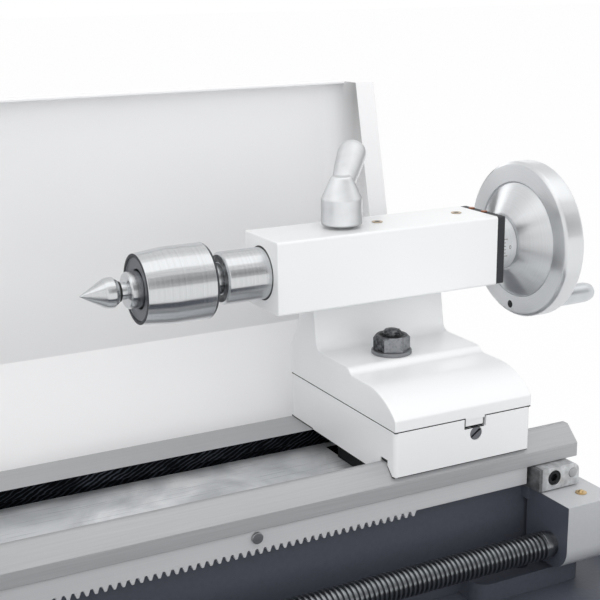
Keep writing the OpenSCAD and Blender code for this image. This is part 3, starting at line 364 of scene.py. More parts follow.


# bracket: a bare milled block above, painted darker towards its left end, and a painted bearing housing
# below whose faces that look left, and whose left strip, are painted dark slate; both darks are painted shade
def bracket_iron(name, paint, dark):
    block_foot, housing_end = WAY_Z - 23.8 * MM, tail(134.2) * MM
    m, t, co = blank(name)
    parts = put(t, "ShaderNodeSeparateXYZ", links={"Vector": co})
    face = put(t, "ShaderNodeSeparateXYZ",
               links={"Vector": put(t, "ShaderNodeNewGeometry").outputs["Normal"]})
    bare = put(t, "ShaderNodeMath", {1: block_foot}, {0: parts.outputs["Z"]}, operation="GREATER_THAN")
    # painted shade: the faces that look left, and the strip left of the housing's end, are coloured dark
    left = put(t, "ShaderNodeMath", {1: -0.2}, {0: face.outputs["X"]}, operation="LESS_THAN")
    step = put(t, "ShaderNodeMath", {1: housing_end}, {0: parts.outputs["X"]}, operation="LESS_THAN")
    end = put(t, "ShaderNodeMath", links={0: left, 1: step}, operation="MAXIMUM")
    grain = put(t, "ShaderNodeTexNoise", {"Scale": per(3), "Detail": 5}, {"Vector": co})
    # painted shade, broken by the grain, fades over 6.5 mm from the block's left end
    near = put(t, "ShaderNodeMapRange",
               {"From Min": tail(131) * MM, "From Max": tail(137.5) * MM, "To Min": 1.25, "To Max": 0.0},
               {"Value": parts.outputs["X"]})
    patch = put(t, "ShaderNodeMath", links={0: near, 1: grain}, operation="MULTIPLY")
    painted_block_shade = put(t, "ShaderNodeMath", links={0: patch, 1: bare}, operation="MULTIPLY", use_clamp=True)
    ends = put(t, "ShaderNodeMath", {1: 0.75}, {0: end}, operation="MULTIPLY")
    painted_end_shade = put(t, "ShaderNodeMath", links={0: painted_block_shade, 1: ends}, operation="MAXIMUM")
    milled = put(t, "ShaderNodeValToRGB", links={"Fac": grain},
                 stops=[(0.2, tone("#A4A6A8")), (0.8, tone("#DFE1E3"))])
    shaded_block_colour = put(t, "ShaderNodeValToRGB", links={"Fac": grain},
                stops=[(0.3, tone("#151617")), (0.75, tone("#5A5C5F"))])
    coat = put(t, "ShaderNodeValToRGB", links={"Fac": grain},
               stops=[(0.1, tone(paint, 0.94)), (0.9, tone(paint))])
    slate = put(t, "ShaderNodeValToRGB", links={"Fac": grain},
                stops=[(0.1, tone(dark, 0.85)), (0.9, tone(dark))])
    housing = put(t, "ShaderNodeMix", links={SHARE: end, FIRST: coat, SECOND: slate},
                  data_type="RGBA").outputs[MIXED]
    block = put(t, "ShaderNodeMix", links={SHARE: painted_end_shade, FIRST: milled, SECOND: shaded_block_colour},
                data_type="RGBA").outputs[MIXED]
    whole = put(t, "ShaderNodeMix", links={SHARE: bare, FIRST: housing, SECOND: block},
                data_type="RGBA").outputs[MIXED]
    shine = put(t, "ShaderNodeMath", {1: 0.55}, {0: bare}, operation="MULTIPLY")
    bump = put(t, "ShaderNodeBump", {"Strength": 0.12, "Distance": 0.3 * MM}, {"Height": grain})
    surface = put(t, "ShaderNodeBsdfPrincipled", {"IOR": 1.5, "Roughness": 0.38},
                  {"Base Color": whole, "Metallic": shine, "Normal": bump})
    put(t, "ShaderNodeOutputMaterial", links={"Surface": surface})
    return m


# blackened steel that spanners and fingers have rubbed bright in patches; the flats that look along a given
# direction are also painted lighter, a painted highlight
def worn_oxide(name, dark, bright, facing=(0, 0, 0)):
    m, t, co = blank(name)
    rub = put(t, "ShaderNodeTexNoise", {"Scale": per(2.5), "Detail": 4, "Roughness": 0.6}, {"Vector": co})
    fine = put(t, "ShaderNodeTexNoise", {"Scale": per(0.7), "Detail": 2}, {"Vector": co})
    own = put(t, "ShaderNodeTexCoord").outputs["Normal"]
    look = put(t, "ShaderNodeVectorMath", {1: facing}, {0: own}, operation="DOT_PRODUCT")
    # painted highlight: the flats that look along facing are made lighter
    flat = put(t, "ShaderNodeMapRange", {"From Min": 0.1, "From Max": 0.8, "To Min": 0.0, "To Max": 0.45},
               {"Value": look.outputs["Value"]})
    wear_and_highlight = put(t, "ShaderNodeMath", links={0: rub, 1: flat}, operation="ADD")
    shade = put(t, "ShaderNodeValToRGB", links={"Fac": wear_and_highlight}, stops=[(0.42, tone(dark)), (1.0, tone(bright))])
    bump = put(t, "ShaderNodeBump", {"Strength": 0.12, "Distance": 0.2 * MM}, {"Height": fine})
    surface = put(t, "ShaderNodeBsdfPrincipled", {"Metallic": 0.85, "Roughness": 0.36},
                  {"Base Color": shade, "Normal": bump})
    put(t, "ShaderNodeOutputMaterial", links={"Surface": surface})
    return m


MATS = {}


def mat(key):
    """The named finish, made once."""
    c = bpy.context.scene.lathe_colours
    makers = {
        "enamel": lambda: gloss_enamel("Gloss enamel on castings", c.enamel),
        # the guard's fold is painted greyer, a painted shade
        "panel": lambda: gloss_enamel("Powder coat on sheet steel", c.panel, rough=0.4, peel=0.06,
                                      painted_shade_x=300 * MM),
        "slate": lambda: slate_enamel("Slate enamel on cast iron", c.slate),
        "bed": lambda: bed_iron("Bed casting with ground ways", c.slate, c.ground),
        "bracket": lambda: bracket_iron("Milled bracket with painted housing", "#C6C8CB", c.slate),
        "steel": lambda: turned_metal("Turned steel", c.steel, rough=0.22, spread=0.8),
        "chuck": lambda: turned_metal("Ground chuck steel", c.steel, rough=0.26, spread=0.5),
        "wheel": lambda: turned_metal("Turned aluminium", c.aluminium, rough=0.31, spread=0.9, face=True,
                                      mark=0.03, metal=0.92),
        "dial": lambda: turned_metal("Satin turned dial", c.aluminium, rough=0.45, spread=0.3, metal=0.5),
        "grip": lambda: satin_metal("Polished aluminium grip", "#D6D9DC", rough=0.3, grain=0.8, depth=0.05),
        "lead": lambda: turned_metal("Oiled leadscrew steel", "#8F9295", rough=0.3, spread=0.2),
        "cast_wheel": lambda: satin_metal("Cast aluminium wheels", c.aluminium, rough=0.3),
        "ground": lambda: ground_metal("Ground steel", c.ground),
        "rack": lambda: ground_metal("Milled rack steel", "#D6D7D9", rough=0.42, metal=0.2),
        "iron": lambda: ground_metal("Planed cast iron", "#9A9C9E", rough=0.36, lines=(900, 12, 900)),
        # the lever's sides are painted darker by the way they face, a painted shade
        "lever": lambda: satin_metal("Satin cast aluminium", "#ECEEF0", rough=0.38, metal=0.7, grain=0.9,
                                     facing=(-0.62, -0.78, 0.6), dull=0.58),
        "oxide": lambda: satin_metal("Black oxide steel", c.oxide, rough=0.38, metal=0.7),
        "worn": lambda: worn_oxide("Rubbed black oxide and painted shade", "#3A3C3F", "#A6A8AB"),
        "washer": lambda: satin_metal("Phosphated washer steel", "#909295", rough=0.4, metal=0.85),
        "rubbed": lambda: satin_metal("Edges rubbed to bare steel", "#C2C4C6", rough=0.34),
        # the nut's front flats are painted lighter, a painted highlight
        "nut": lambda: worn_oxide("Black oxide, rubbed, front flats painted lighter", "#232528", "#94969A",
                                  facing=(-0.1, -0.99, 0)),
        "dark": lambda: satin_metal("Hardened dark steel", "#808287", rough=0.4),
        "rim": lambda: satin_metal("Knurled dark steel and painted shade", "#4A4C50", rough=0.5, metal=0.8, grain=1.1,
                                   depth=0.8),
        # dark joint lines, and dark rings, lines and slabs that are painted shade in grooves, gaps and
        # contacts
        "gap": lambda: moulded("Dark joint line and painted shade", "#17181A", rough=0.6),
        "oily": lambda: satin_metal("Oily black plate steel", "#0E1013", rough=0.5, metal=0.9),
        "plate": lambda: satin_metal("Flame-cut blackened plate", "#36383C", rough=0.55, metal=0.3,
                                     grain=1.1, depth=0.6),
        "brass": lambda: satin_metal("Plain brass", c.brass, rough=0.3),
        "copper": lambda: satin_metal("Copper-washed screws", "#A8694A", rough=0.35),
        "bronze": lambda: satin_metal("Aged brass", "#C9B79C", rough=0.35),
        "rubber": lambda: moulded("Moulded rubber", "#1B1B1D", rough=0.65),
        "plastic": lambda: moulded("Moulded ABS", "#26272A", rough=0.42),
        "red": lambda: moulded("Red ABS", "#B3201F", rough=0.32),
        "ink": lambda: moulded("Filled engraving", "#5A4F4B", rough=0.6),
    }
    if key not in MATS:
        MATS[key] = makers[key]()
    return MATS[key]


# meshes

def box_mm(node):
    """A node's lowest and highest corner, in millimetres."""
    return [[v / MM for v in corner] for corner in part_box(node)]


def slot_of(node):
    """The material slot that the record gives a node."""
    for s in frame["record"]["subparts"]:
        if s["node"] == node:
            return s["material_slot"]


def stand(name, data, home=None):
    """A new object, linked into the scene."""
    o = bpy.data.objects.new(name, data)
    (home or bpy.context.collection).objects.link(o)
    return o


def baked(o):
    """The mesh that an object's modifiers make; the modifiers are then removed."""
    me = bpy.data.meshes.new_from_object(o.evaluated_get(bpy.context.evaluated_depsgraph_get()))
    o.modifiers.clear()
    return me


def settle(me, name, key, body, replaced=(), sharp=32, rub=None, even=False):
    """Gives a mesh its finish, a second finish on its eased edges, smooth shading that keeps flats flat, and
    its body.
    """
    me.materials.clear()
    me.materials.append(mat(key))
    me.polygons.foreach_set("use_smooth", [True] * len(me.polygons))
    if rub:
        me.materials.append(mat(rub))
    else:
        me.polygons.foreach_set("material_index", [0] * len(me.polygons))
    me.set_sharp_from_angle(angle=math.radians(sharp))
    o = stand(name, me)
    if even:
        flat = o.modifiers.new("Even", "WEIGHTED_NORMAL")
        flat.keep_sharp = True
        o.data = baked(o)
    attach(o, body)
    if replaced:
        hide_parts(*replaced)
    return o


def seal(bm, name, key, body, replaced=(), rub=None, even=False):
    """Turns a bmesh into a piece that rides on a body."""
    bmesh.ops.recalc_face_normals(bm, faces=bm.faces)
    me = bpy.data.meshes.new(name)
    bm.to_mesh(me)
    bm.free()
    return settle(me, name, key, body, replaced, rub=rub, even=even)


def coat(nodes, key):
    """Gives CAD nodes whose shape is right their finish."""
    for n in nodes:
        o = frame["nodes"][n]
        o.data.materials.clear()
        o.data.materials.append(mat(key))
        for p in o.data.polygons:
            p.material_index = 0


def cad_copy(node):
    """A bmesh copy of a node's solid, its doubled corners joined."""
    bm = bmesh.new()
    bm.from_mesh(frame["nodes"][node].data)
    bmesh.ops.remove_doubles(bm, verts=bm.verts, dist=SAME_POINT)
    return bm


def dress(node, key, width, segments=3, angle=40, part=None, name=None, shift=None, ease=lambda c: 1,
          rub=None):
    """A copy of a node, or of the part that part() keeps, with its edges eased, standing for the node.

    shift() moves a place, and ease() scales the round there. Rounds scaled down have one segment.
    """
    bm = cad_copy(node)
    if part:
        bmesh.ops.delete(bm, geom=[v for v in bm.verts if not part(v.co)], context="VERTS")
    bmesh.ops.dissolve_limit(bm, angle_limit=SAME_PLANE, verts=bm.verts, edges=bm.edges)
    if shift:
        for v in bm.verts:
            v.co = shift(v.co)
    for f in bm.faces:
        f.material_index = 0
    picked = {}
    for e in bm.edges:
        if e.is_manifold and e.calc_face_angle(0) > math.radians(angle):
            picked.setdefault(ease((e.verts[0].co + e.verts[1].co) / 2), []).append(e)
    for factor, edges in sorted(picked.items(), reverse=True):
        bmesh.ops.bevel(bm, geom=[e for e in edges if e.is_valid], offset=width * factor,
                        offset_type="OFFSET", segments=segments if factor >= 1 else 1, profile=0.5,
                        affect="EDGES", clamp_overlap=True, material=1 if rub else -1)
    return seal(bm, name or node + "_finished", key, BODY[node], (node,), rub, even=True)


def slab(name, lo, hi, key, body):
    """A small block between two corners in millimetres."""
    bm = bmesh.new()
    bmesh.ops.create_cube(bm, size=1)
    for v in bm.verts:
        v.co = [(lo[i] + hi[i]) / 2 * MM + v.co[i] * (hi[i] - lo[i]) * MM for i in range(3)]
    return seal(bm, name, key, body)


def eased(points, usual=0.4, steps=4):
    """A profile of (radius, station[, round]) in millimetres, each corner rounded as given or as usual."""
    # a round takes at most this share of each leg, so that two of them never meet
    most = 0.45
    out = []
    pts = [Vector(p[:2]) for p in points]
    for i, p in enumerate(pts):
        r = points[i][2] if len(points[i]) > 2 else usual
        if i in (0, len(pts) - 1) or r <= 0:
            out.append(p)
            continue
        a, b = pts[i - 1] - p, pts[i + 1] - p
        cut = min(r, most * a.length, most * b.length)
        s, e = p + a.normalized() * cut, p + b.normalized() * cut
        for k in range(steps + 1):
            q = k / steps
            out.append(s * (1 - q) ** 2 + p * 2 * q * (1 - q) + e * q * q)
    return out


def placed(station, u, v, axis):
    """A point at a station along X or Z and at u, v across that line."""
    return (station, u, v) if axis == "x" else (u, v, station)


def revolve(bm, prof, seg, centre, axis, closed=False):
    """Adds (radius, station) points in millimetres, turned about a line along X or Z, to a bmesh."""
    rings = []
    for p in prof:
        ring = []
        for i in range(seg if p[0] > 1e-4 else 1):
            a = 2 * math.pi * i / seg
            u, v = p[0] * MM * math.cos(a), p[0] * MM * math.sin(a)
            ring.append(bm.verts.new(placed(p[1] * MM, centre[0] + u, centre[1] + v, axis)))
        rings.append(ring)
    for a, b in list(zip(rings, rings[1:])) + ([(rings[-1], rings[0])] if closed else []):
        for i in range(seg):
            j = (i + 1) % seg
            if len(a) == 1 and len(b) > 1:
                bm.faces.new((a[0], b[i], b[j]))
            elif len(b) == 1 and len(a) > 1:
                bm.faces.new((a[i], b[0], a[j]))
            elif len(a) > 1:
                bm.faces.new((a[i], b[i], b[j], a[j]))


def turned(name, points, key, body, replaced=(), slot=None, seg=128, centre=(0, AXIS_Z), axis="x",
           closed=False):
    """A piece of revolution from (radius, station[, round]) points in millimetres."""
    bm = bmesh.new()
    revolve(bm, eased(points), seg, centre, axis, closed)
    return seal(bm, name, key, body, replaced)


def finished(node, points, key, **form):
    """A piece of revolution that stands for a node."""
    return turned(node + "_finished", points, key, BODY[node], (node,), slot_of(node), **form)


def threaded(name, radius, depth, x0, x1, pitch, key, body, centre, ends, replaced, seg=24, axis="x"):
    """A screw along X or Z with a trapezoid thread between two stations, and turned ends, in millimetres."""
    bm = bmesh.new()
    turns = int((x1 - x0) / pitch)
    # share of the pitch and of the depth at the crest, flank and root of one turn
    form = ((0.0, 0.0), (0.33, 0.0), (0.5, 1.0), (0.83, 1.0))
    rows = []
    for i in range(turns * seg + 1):
        a = 2 * math.pi * i / seg
        row = []
        for share, deep in form:
            r = (radius - deep * depth) * MM
            station = (x0 + (i / seg + share) * pitch) * MM
            at = placed(station, centre[0] + r * math.cos(a), centre[1] + r * math.sin(a), axis)
            row.append(bm.verts.new(at))
        rows.append(row)
    for i in range(len(rows) - 1):
        p, q = rows[i], rows[i + 1]
        for k in range(3):
            bm.faces.new((p[k], p[k + 1], q[k + 1], q[k]))
        if i + seg + 1 < len(rows):
            bm.faces.new((p[3], rows[i + seg][0], rows[i + seg + 1][0], q[3]))
    for prof in ends:
        revolve(bm, eased(prof), 48, centre, axis)
    return seal(bm, name, key, body, replaced)


def grown(name, tree, seed, inputs):
    """The mesh that a node tree makes from a seed mesh and its named inputs, set by identifier."""
    o = stand(name + "_tree", seed)
    mod = o.modifiers.new("Repeats", "NODES")
    mod.node_group = tree
    for identifier, value in inputs:
        mod[identifier] = value
    me = baked(o)
    bpy.data.objects.remove(o)
    return me


def ticks(name, count, radius, station, short, long, width, key, body, centre):
    """Marks round a dial or cowl, every fifth one long, made by a node tree; sizes in millimetres."""
    tree = bpy.data.node_groups.new(name + "_marks", "GeometryNodeTree")
    face = tree.interface
    face.new_socket("Geometry", in_out="OUTPUT", socket_type="NodeSocketGeometry")
    inputs = []
    for label, kind, value in (("Marks", "Int", count), ("Radius", "Float", radius * MM),
                               ("Short", "Float", short * MM), ("Long", "Float", long * MM),
                               ("Width", "Float", width * MM)):
        socket = face.new_socket(label, in_out="INPUT", socket_type="NodeSocket" + kind)
        inputs.append((socket.identifier, value))
    src = put(tree, "NodeGroupInput").outputs
    ring = put(tree, "GeometryNodeMeshCircle", links={"Vertices": src["Marks"], "Radius": src["Radius"]})
    size = put(tree, "ShaderNodeCombineXYZ", {"X": 0.12 * MM}, {"Y": src["Width"], "Z": src["Short"]})
    bar = put(tree, "GeometryNodeMeshCube", links={"Size": size})
    up = put(tree, "ShaderNodeMath", {1: 0.5}, {0: src["Short"]}, operation="MULTIPLY")
    lift = put(tree, "ShaderNodeCombineXYZ", links={"Z": up})
    base = put(tree, "GeometryNodeTransform", links={"Geometry": bar, "Translation": lift})
    index = put(tree, "GeometryNodeInputIndex")
    step = put(tree, "ShaderNodeMath", {0: 2 * math.pi}, {1: src["Marks"]}, operation="DIVIDE")
    turn = put(tree, "ShaderNodeMath", links={0: index, 1: step}, operation="MULTIPLY")
    spin = put(tree, "ShaderNodeCombineXYZ", links={"Z": turn})
    fifth = put(tree, "ShaderNodeMath", {1: 5.0}, {0: index}, operation="MODULO")
    major = put(tree, "ShaderNodeMath", {1: 0.5}, {0: fifth}, operation="LESS_THAN")
    ratio = put(tree, "ShaderNodeMath", links={0: src["Long"], 1: src["Short"]}, operation="DIVIDE")
    less = put(tree, "ShaderNodeMath", {1: 1.0}, {0: ratio}, operation="SUBTRACT")
    reach = put(tree, "ShaderNodeMath", {2: 1.0}, {0: less, 1: major}, operation="MULTIPLY_ADD")
    scale = put(tree, "ShaderNodeCombineXYZ", {"X": 1.0, "Y": 1.0}, {"Z": reach})
    marks = put(tree, "GeometryNodeInstanceOnPoints",
                links={"Points": ring, "Instance": base, "Rotation": spin, "Scale": scale})
    real = put(tree, "GeometryNodeRealizeInstances", links={"Geometry": marks})
    ink = put(tree, "GeometryNodeSetMaterial", {"Material": mat(key)}, {"Geometry": real})
    put(tree, "NodeGroupOutput", links={"Geometry": ink})
    me = grown(name, tree, bpy.data.meshes.new(name + "_seed"), inputs)
    # the tree's ring lies about Z; stand it on an axis along X
    upright = Matrix.Rotation(math.pi / 2, 4, "Y")
    me.transform(Matrix.Translation((station * MM, centre[0], centre[1])) @ upright)
    return settle(me, name, key, body)


def screw_heads(name, spots, radius, height, key, body, front=False):
    """Socket button heads that look up or to the front, made by a node tree; sizes in millimetres."""
    tree = bpy.data.node_groups.new(name + "_heads", "GeometryNodeTree")
    face = tree.interface
    face.new_socket("Geometry", in_out="OUTPUT", socket_type="NodeSocketGeometry")
    face.new_socket("Spots", in_out="INPUT", socket_type="NodeSocketGeometry")
    inputs = []
    for label, value in (("Radius", radius * MM), ("Height", height * MM)):
        socket = face.new_socket(label, in_out="INPUT", socket_type="NodeSocketFloat")
        inputs.append((socket.identifier, value))
    src = put(tree, "NodeGroupInput").outputs
    crown = put(tree, "ShaderNodeMath", {1: 0.7}, {0: src["Radius"]}, operation="MULTIPLY")
    drive = put(tree, "ShaderNodeMath", {1: 0.42}, {0: src["Radius"]}, operation="MULTIPLY")
    head = put(tree, "GeometryNodeMeshCone", {"Vertices": 24},
               {"Radius Bottom": src["Radius"], "Radius Top": crown, "Depth": src["Height"]})
    hexagon = put(tree, "GeometryNodeMeshCylinder", {"Vertices": 6},
                  {"Radius": drive, "Depth": src["Height"]})
    rise = put(tree, "ShaderNodeCombineXYZ", links={"Z": src["Height"]})
    tool = put(tree, "GeometryNodeTransform", links={"Geometry": hexagon, "Translation": rise})
    cut = put(tree, "GeometryNodeMeshBoolean", links={"Mesh 1": head, "Mesh 2": tool}, operation="DIFFERENCE")
    heads = put(tree, "GeometryNodeInstanceOnPoints", links={"Points": src["Spots"], "Instance": cut})
    real = put(tree, "GeometryNodeRealizeInstances", links={"Geometry": heads})
    paint = put(tree, "GeometryNodeSetMaterial", {"Material": mat(key)}, {"Geometry": real})
    put(tree, "NodeGroupOutput", links={"Geometry": paint})
    seed = bpy.data.meshes.new(name + "_seed")
    seed.from_pydata([(x * MM, z * MM, -y * MM) if front else (x * MM, y * MM, z * MM) for x, y, z in spots],
                     [], [])
    me = grown(name, tree, seed, inputs)
    if front:
        me.transform(Matrix.Rotation(math.pi / 2, 4, "X"))
    return settle(me, name, key, body)


def figures(name, count, every, radius, station, height, key, body):
    """Plain numbers round the tailstock dial, wrapped just above its cylinder; sizes in millimetres."""
    skin = (radius + 0.06) * MM
    joined = bmesh.new()
    for i in range(0, count, every):
        text = bpy.data.curves.new(name, "FONT")
        text.body, text.size, text.align_x, text.align_y = str(i), height * MM, "LEFT", "CENTER"
        text.resolution_u = 3
        o = stand(name, text)
        me = baked(o)
        bpy.data.objects.remove(o)
        start = math.pi - 2 * math.pi * i / count
        for v in me.vertices:
            a = start - v.co.y / (radius * MM)
            v.co = (station * MM + v.co.x, skin * math.cos(a), AXIS_Z + skin * math.sin(a))
        joined.from_mesh(me)
        bpy.data.meshes.remove(me)
    for f in joined.faces:
        mid = f.calc_center_median()
        f.normal_update()
        if f.normal.dot(Vector((0, mid.y, mid.z - AXIS_Z))) < 0:
            f.normal_flip()
    me = bpy.data.meshes.new(name)
    joined.to_mesh(me)
    joined.free()
    return settle(me, name, key, body)


def blended(node, key, voxel, rounds):
    """A cast form: the node's solids run together by a fine remesh and smoothed."""
    me = frame["nodes"][node].data.copy()
    bm = cad_copy(node)
    bm.to_mesh(me)
    bm.free()
    o = stand(node + "_cast", me)
    mesh = o.modifiers.new("Run", "REMESH")
    mesh.mode, mesh.voxel_size, mesh.use_smooth_shade = "VOXEL", voxel, True
    soft = o.modifiers.new("Ease", "SMOOTH")
    soft.factor, soft.iterations = 0.5, rounds
    out = baked(o)
    bpy.data.objects.remove(o)
    return settle(out, node + "_finished", key, BODY[node], (node,), sharp=60)


def across(pts, i):
    """The sum of the unit normals of the legs that meet at a path's point, and how many legs there are."""
    legs = [(pts[j + 1] - pts[j]).normalized() for j in (i - 1, i) if 0 <= j < len(pts) - 1]
    return sum((Vector((-d.y, d.x)) for d in legs), Vector((0, 0))), len(legs)


def lofted(name, rows, key, body):
    """A closed strip through rows of points in millimetres, capped at both ends."""
    bm = bmesh.new()
    rows = [[bm.verts.new([c * MM for c in p]) for p in row] for row in rows]
    for a, b in zip(rows, rows[1:]):
        for k in range(len(a)):
            j = (k + 1) % len(a)
            bm.faces.new((a[k], a[j], b[j], b[k]))
    bm.faces.new(rows[0])
    bm.faces.new(list(reversed(rows[-1])))
    return seal(bm, name, key, body)


def corner_fillet(name, x, path, radius, key, body, steps=8):
    """A concave round between a bent panel and its end flange; path holds (y, z) points in millimetres."""
    rows = []
    pts = [Vector(p) for p in path]
    for i, p in enumerate(pts):
        n, legs = across(pts, i)
        n = n.normalized() / max(0.5, n.length / legs)
        row = [(x, p.x, p.y)]
        for k in range(steps + 1):
            a = math.pi / 2 * k / steps
            lift = radius * (1 - math.cos(a))
            row.append((x - radius + radius * math.sin(a), p.x + n.x * lift, p.y + n.y * lift))
        rows.append(row)
    return lofted(name, rows, key, body)


def ribbon(name, path, width, at, key, body, side="x"):
    """A thin line on a face that looks along -X or -Y, from points across that face, in millimetres."""
    proud, sunk = at - 0.1, at + 0.3
    rows = []
    pts = [Vector(p) for p in path]
    for i, p in enumerate(pts):
        n = across(pts, i)[0].normalized() * width / 2
        row = []
        for u, k in ((proud, 1), (proud, -1), (sunk, -1), (sunk, 1)):
            v, w = p.x + k * n.x, p.y + k * n.y
            row.append((u, v, w) if side == "x" else (v, u, w))
        rows.append(row)
    return lofted(name, rows, key, body)


# castings and sheet metal

def at_seam(c):
    """Whether a place is on the joint between the tailstock's body and base."""
    return abs(c.z - SEAM_Z) < 1.2 * MM


def body_round(c):
    """The tailstock body's edges: barely broken at the seam, fullest on the barrel's nose and the foot."""
    if at_seam(c):
        return 0.2
    return 2.2 if c.x < tail(1) * MM or c.z < AXIS_Z - 21.5 * MM else 1


def base_round(c):
    """The tailstock base's edges: barely broken at the seam, the ways and the tab's notch."""
    notch = c.z > SEAM_Z - 7.5 * MM and c.y < FRONT_Y + 2 * MM
    return 0.15 if at_seam(c) or c.z < WAY_Z + 1.2 * MM or notch else 1


def under_seam(c):
    """Lowers the base's top face, so that the joint line shows above it."""
    return c - Vector((0, 0, 0.8 * MM)) if abs(c.z - SEAM_Z) < 0.01 * MM else c


def base_lines():
    """Dark lines where the tailstock's body, base and tab meet; painted shadow where the base sits on the
    ways, and painted shade in its groove and behind the tab.
    """
    lo, hi = box_mm("tailstock_base")
    way = WAY_Z / MM
    slab("tailstock_joint_line", (lo[0] + 0.3, lo[1] + 0.3, hi[2] - 0.9),
         (hi[0] - 0.3, hi[1] - 0.3, hi[2] + 0.1), "gap", "tailstock")
    # painted shadow: dark lines where the base sits on the ways
    ribbon("base_contact_shadow_rear", [(hi[1] - 0.2, way + 0.35), (10.3, way + 0.35)], 0.6, lo[0], "gap",
           "tailstock")
    ribbon("base_contact_shadow_front", [(-76.2, way + 7.1), (-80.9, way + 2.5), (lo[1] + 0.2, way + 2.5)], 0.5,
           lo[0], "gap", "tailstock")
    ribbon("base_contact_shadow_skirt", [(lo[0] + 2, way + 2.55), (hi[0] - 2, way + 2.55)], 0.35, lo[1], "gap",
           "tailstock", "y")
    # painted shade in the base's groove
    slab("base_groove_shade", (lo[0] + 0.5, -76.0, way + 8.7), (lo[0] + 4, -69.0, way + 10.4), "gap",
         "tailstock")
    tab, tab_end, tab_foot = tail(84), tail(97), hi[2] - 6.3
    ribbon("tailstock_tab_line",
           [(tab - 0.25, hi[2] - 1.0), (tab - 0.25, tab_foot), (tab_end - 0.4, tab_foot)], 0.5, lo[1],
           "gap", "tailstock", "y")
    # painted shade: a dark slab behind the tab, seen in the gaps round it
    slab("tailstock_tab_pocket_shade", (tab - 0.5, lo[1] + 1.6, tab_foot - 0.2),
         (tab_end + 0.2, lo[1] + 14.5, hi[2] - 0.2), "gap", "tailstock")
    slab("tailstock_tab_root", (tab + 0.2, lo[1] - 0.02, hi[2] - 1.3), (tab_end, lo[1] + 2, hi[2] + 0.4),
         "enamel", "tailstock")


class LATHE_OT_castings(bpy.types.Operator):
    """Eases the painted castings and sheet metal"""

    bl_idname = "lathe.castings"
    bl_label = "Castings and sheet metal"

    def execute(self, context):
        w = context.scene.lathe_sizes.casting_edge
        dress("tailstock_body", "enamel", w, 4, ease=body_round)
        dress("tailstock_base", "enamel", 1.5 * w, 4, ease=base_round, shift=under_seam)
        base_lines()
        for n in ("headstock", "saddle", "apron", "gear_cover"):
            dress(n, "enamel", w, 3)
        for n in ("bracket_right", "bracket_left"):
            dress(n, "bracket", 0.6 * w)
        dress("splash_guard", "panel", 0.3 * w, 2)
        flange = box_mm("splash_guard")[1][0] - 13.5
        inner_face = [(52, 92), (108.5, 147), (108.5, 306.5)]
        corner_fillet("splash_guard_corner", flange, inner_face, 11, "panel", BODY["splash_guard"])
        dress("chip_tray", "slate", 0.3 * w, 2)
        right_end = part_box("bed")[1][0] - 0.5 * MM
        dress("bed", "bed", 0.6 * w, 2, ease=lambda c: 6 if c.x > right_end and c.z > WAY_Z + 3 * MM else 1)
        dress("motor", "slate", w, 2)
        dress("control_panel", "plastic", w, 3)
        return {"FINISHED"}


# tailstock metal: profiles are (radius, station[, round]) in millimetres

def quill_steel():
    """The ground quill, and a dark ring on its nose that is painted shade."""
    lo, hi = box_mm("quill")
    nose, heel, r = lo[0], hi[0], (hi[2] - lo[2]) / 2
    finished("quill", [(9.0, nose + 0.4), (r - 1.3, nose), (r, nose + 1.2), (r, heel), (9.0, heel)], "steel",
             closed=True)
    # painted shade: a dark ring on the quill's end face, where the live centre shades it
    turned("quill_nose_shade",
           [(9.2, nose + 0.6), (9.5, nose + 0.1, 0.1), (r - 1.6, nose - 0.04, 0.1), (r - 1.4, nose + 0.6)],
           "worn", "quill", closed=True)


def live_centre():
    """The live centre's body, cap, point and knurled dark rim; the dark rings in its groove and at its back
    are painted shade.
    """
    nose = box_mm("quill")[0][0]
    front, back = box_mm("live_centre_body")[0][0], tail(-34.8)
    r = box_mm("live_centre_body")[1][2] - AXIS_Z / MM
    finished("live_centre_body",
             [(17.5, front + 1.2), (17.7, front, 0.2), (19.6, front, 0.5), (r, front + 17.7, 3.0),
              (r, back - 1.4, 0.5), (r - 1.1, back, 0.4), (10.6, back, 0.3), (9.05, back + 1.4, 0.6),
              (8.9, nose + 4), (0, nose + 4)], "steel")
    finished("live_centre_cap",
             [(11.0, front + 8), (11.0, front + 1.4, 0.3), (12.2, front + 0.9, 0.3), (16.6, front + 0.9, 0.2),
              (16.9, front + 0.6), (17.45, front + 0.6), (17.45, front + 8)], "dark", closed=True)
    tip = box_mm("live_centre_point")[0][0]
    finished("live_centre_point",
             [(0, tip), (0.25, tip + 0.1, 0.1), (8.0, tip + 13.6, 0.4), (8.4, tip + 16, 0.8),
              (8.4, tip + 18.4, 0.4), (6.6, tip + 20.8, 0.2), (4.8, tip + 21, 0.2), (4.8, tip + 25.6, 0.2),
              (9.4, tip + 25.8, 0.2), (10.2, tip + 26.8, 0.3), (10.2, tip + 40), (0, tip + 40)], "steel")
    # painted shade: a dark ring in the point's groove
    turned("live_centre_groove_shade",
           [(4.85, tip + 21.1), (5.6, tip + 21.0, 0.1), (5.6, tip + 22.3, 0.1), (4.85, tip + 22.4)],
           "gap", "live_point", closed=True)
    turned("live_centre_rim",
           [(17.62, front + 1.0), (17.62, front - 0.04, 0.1), (19.45, front - 0.04, 0.1),
            (19.62, front + 0.8)], "rim", "quill", closed=True)
    # painted shade: a dark ring on the body's back, facing the quill's nose
    turned("live_centre_back_shade_ring",
           [(r - 1.3, back - 0.3), (r - 0.1, back - 1.35, 0.1), (r + 0.01, back - 1.5, 0.05),
            (r - 0.2, back - 1.0, 0.05), (r - 1.05, back + 0.04, 0.1)], "rim", "quill", closed=True)


def barrel_mouth():
    """A dark ring round the quill at the barrel's face, a painted shadow in the gap."""
    lo, hi = box_mm("quill")
    r = (hi[2] - lo[2]) / 2
    turned("barrel_mouth_shadow_ring",
           [(r + 0.05, tail(0.4)), (r + 0.05, tail(-0.05)), (r + 0.75, tail(-0.05), 0.1),
            (r + 0.8, tail(0.4))], "gap", "tailstock", closed=True)


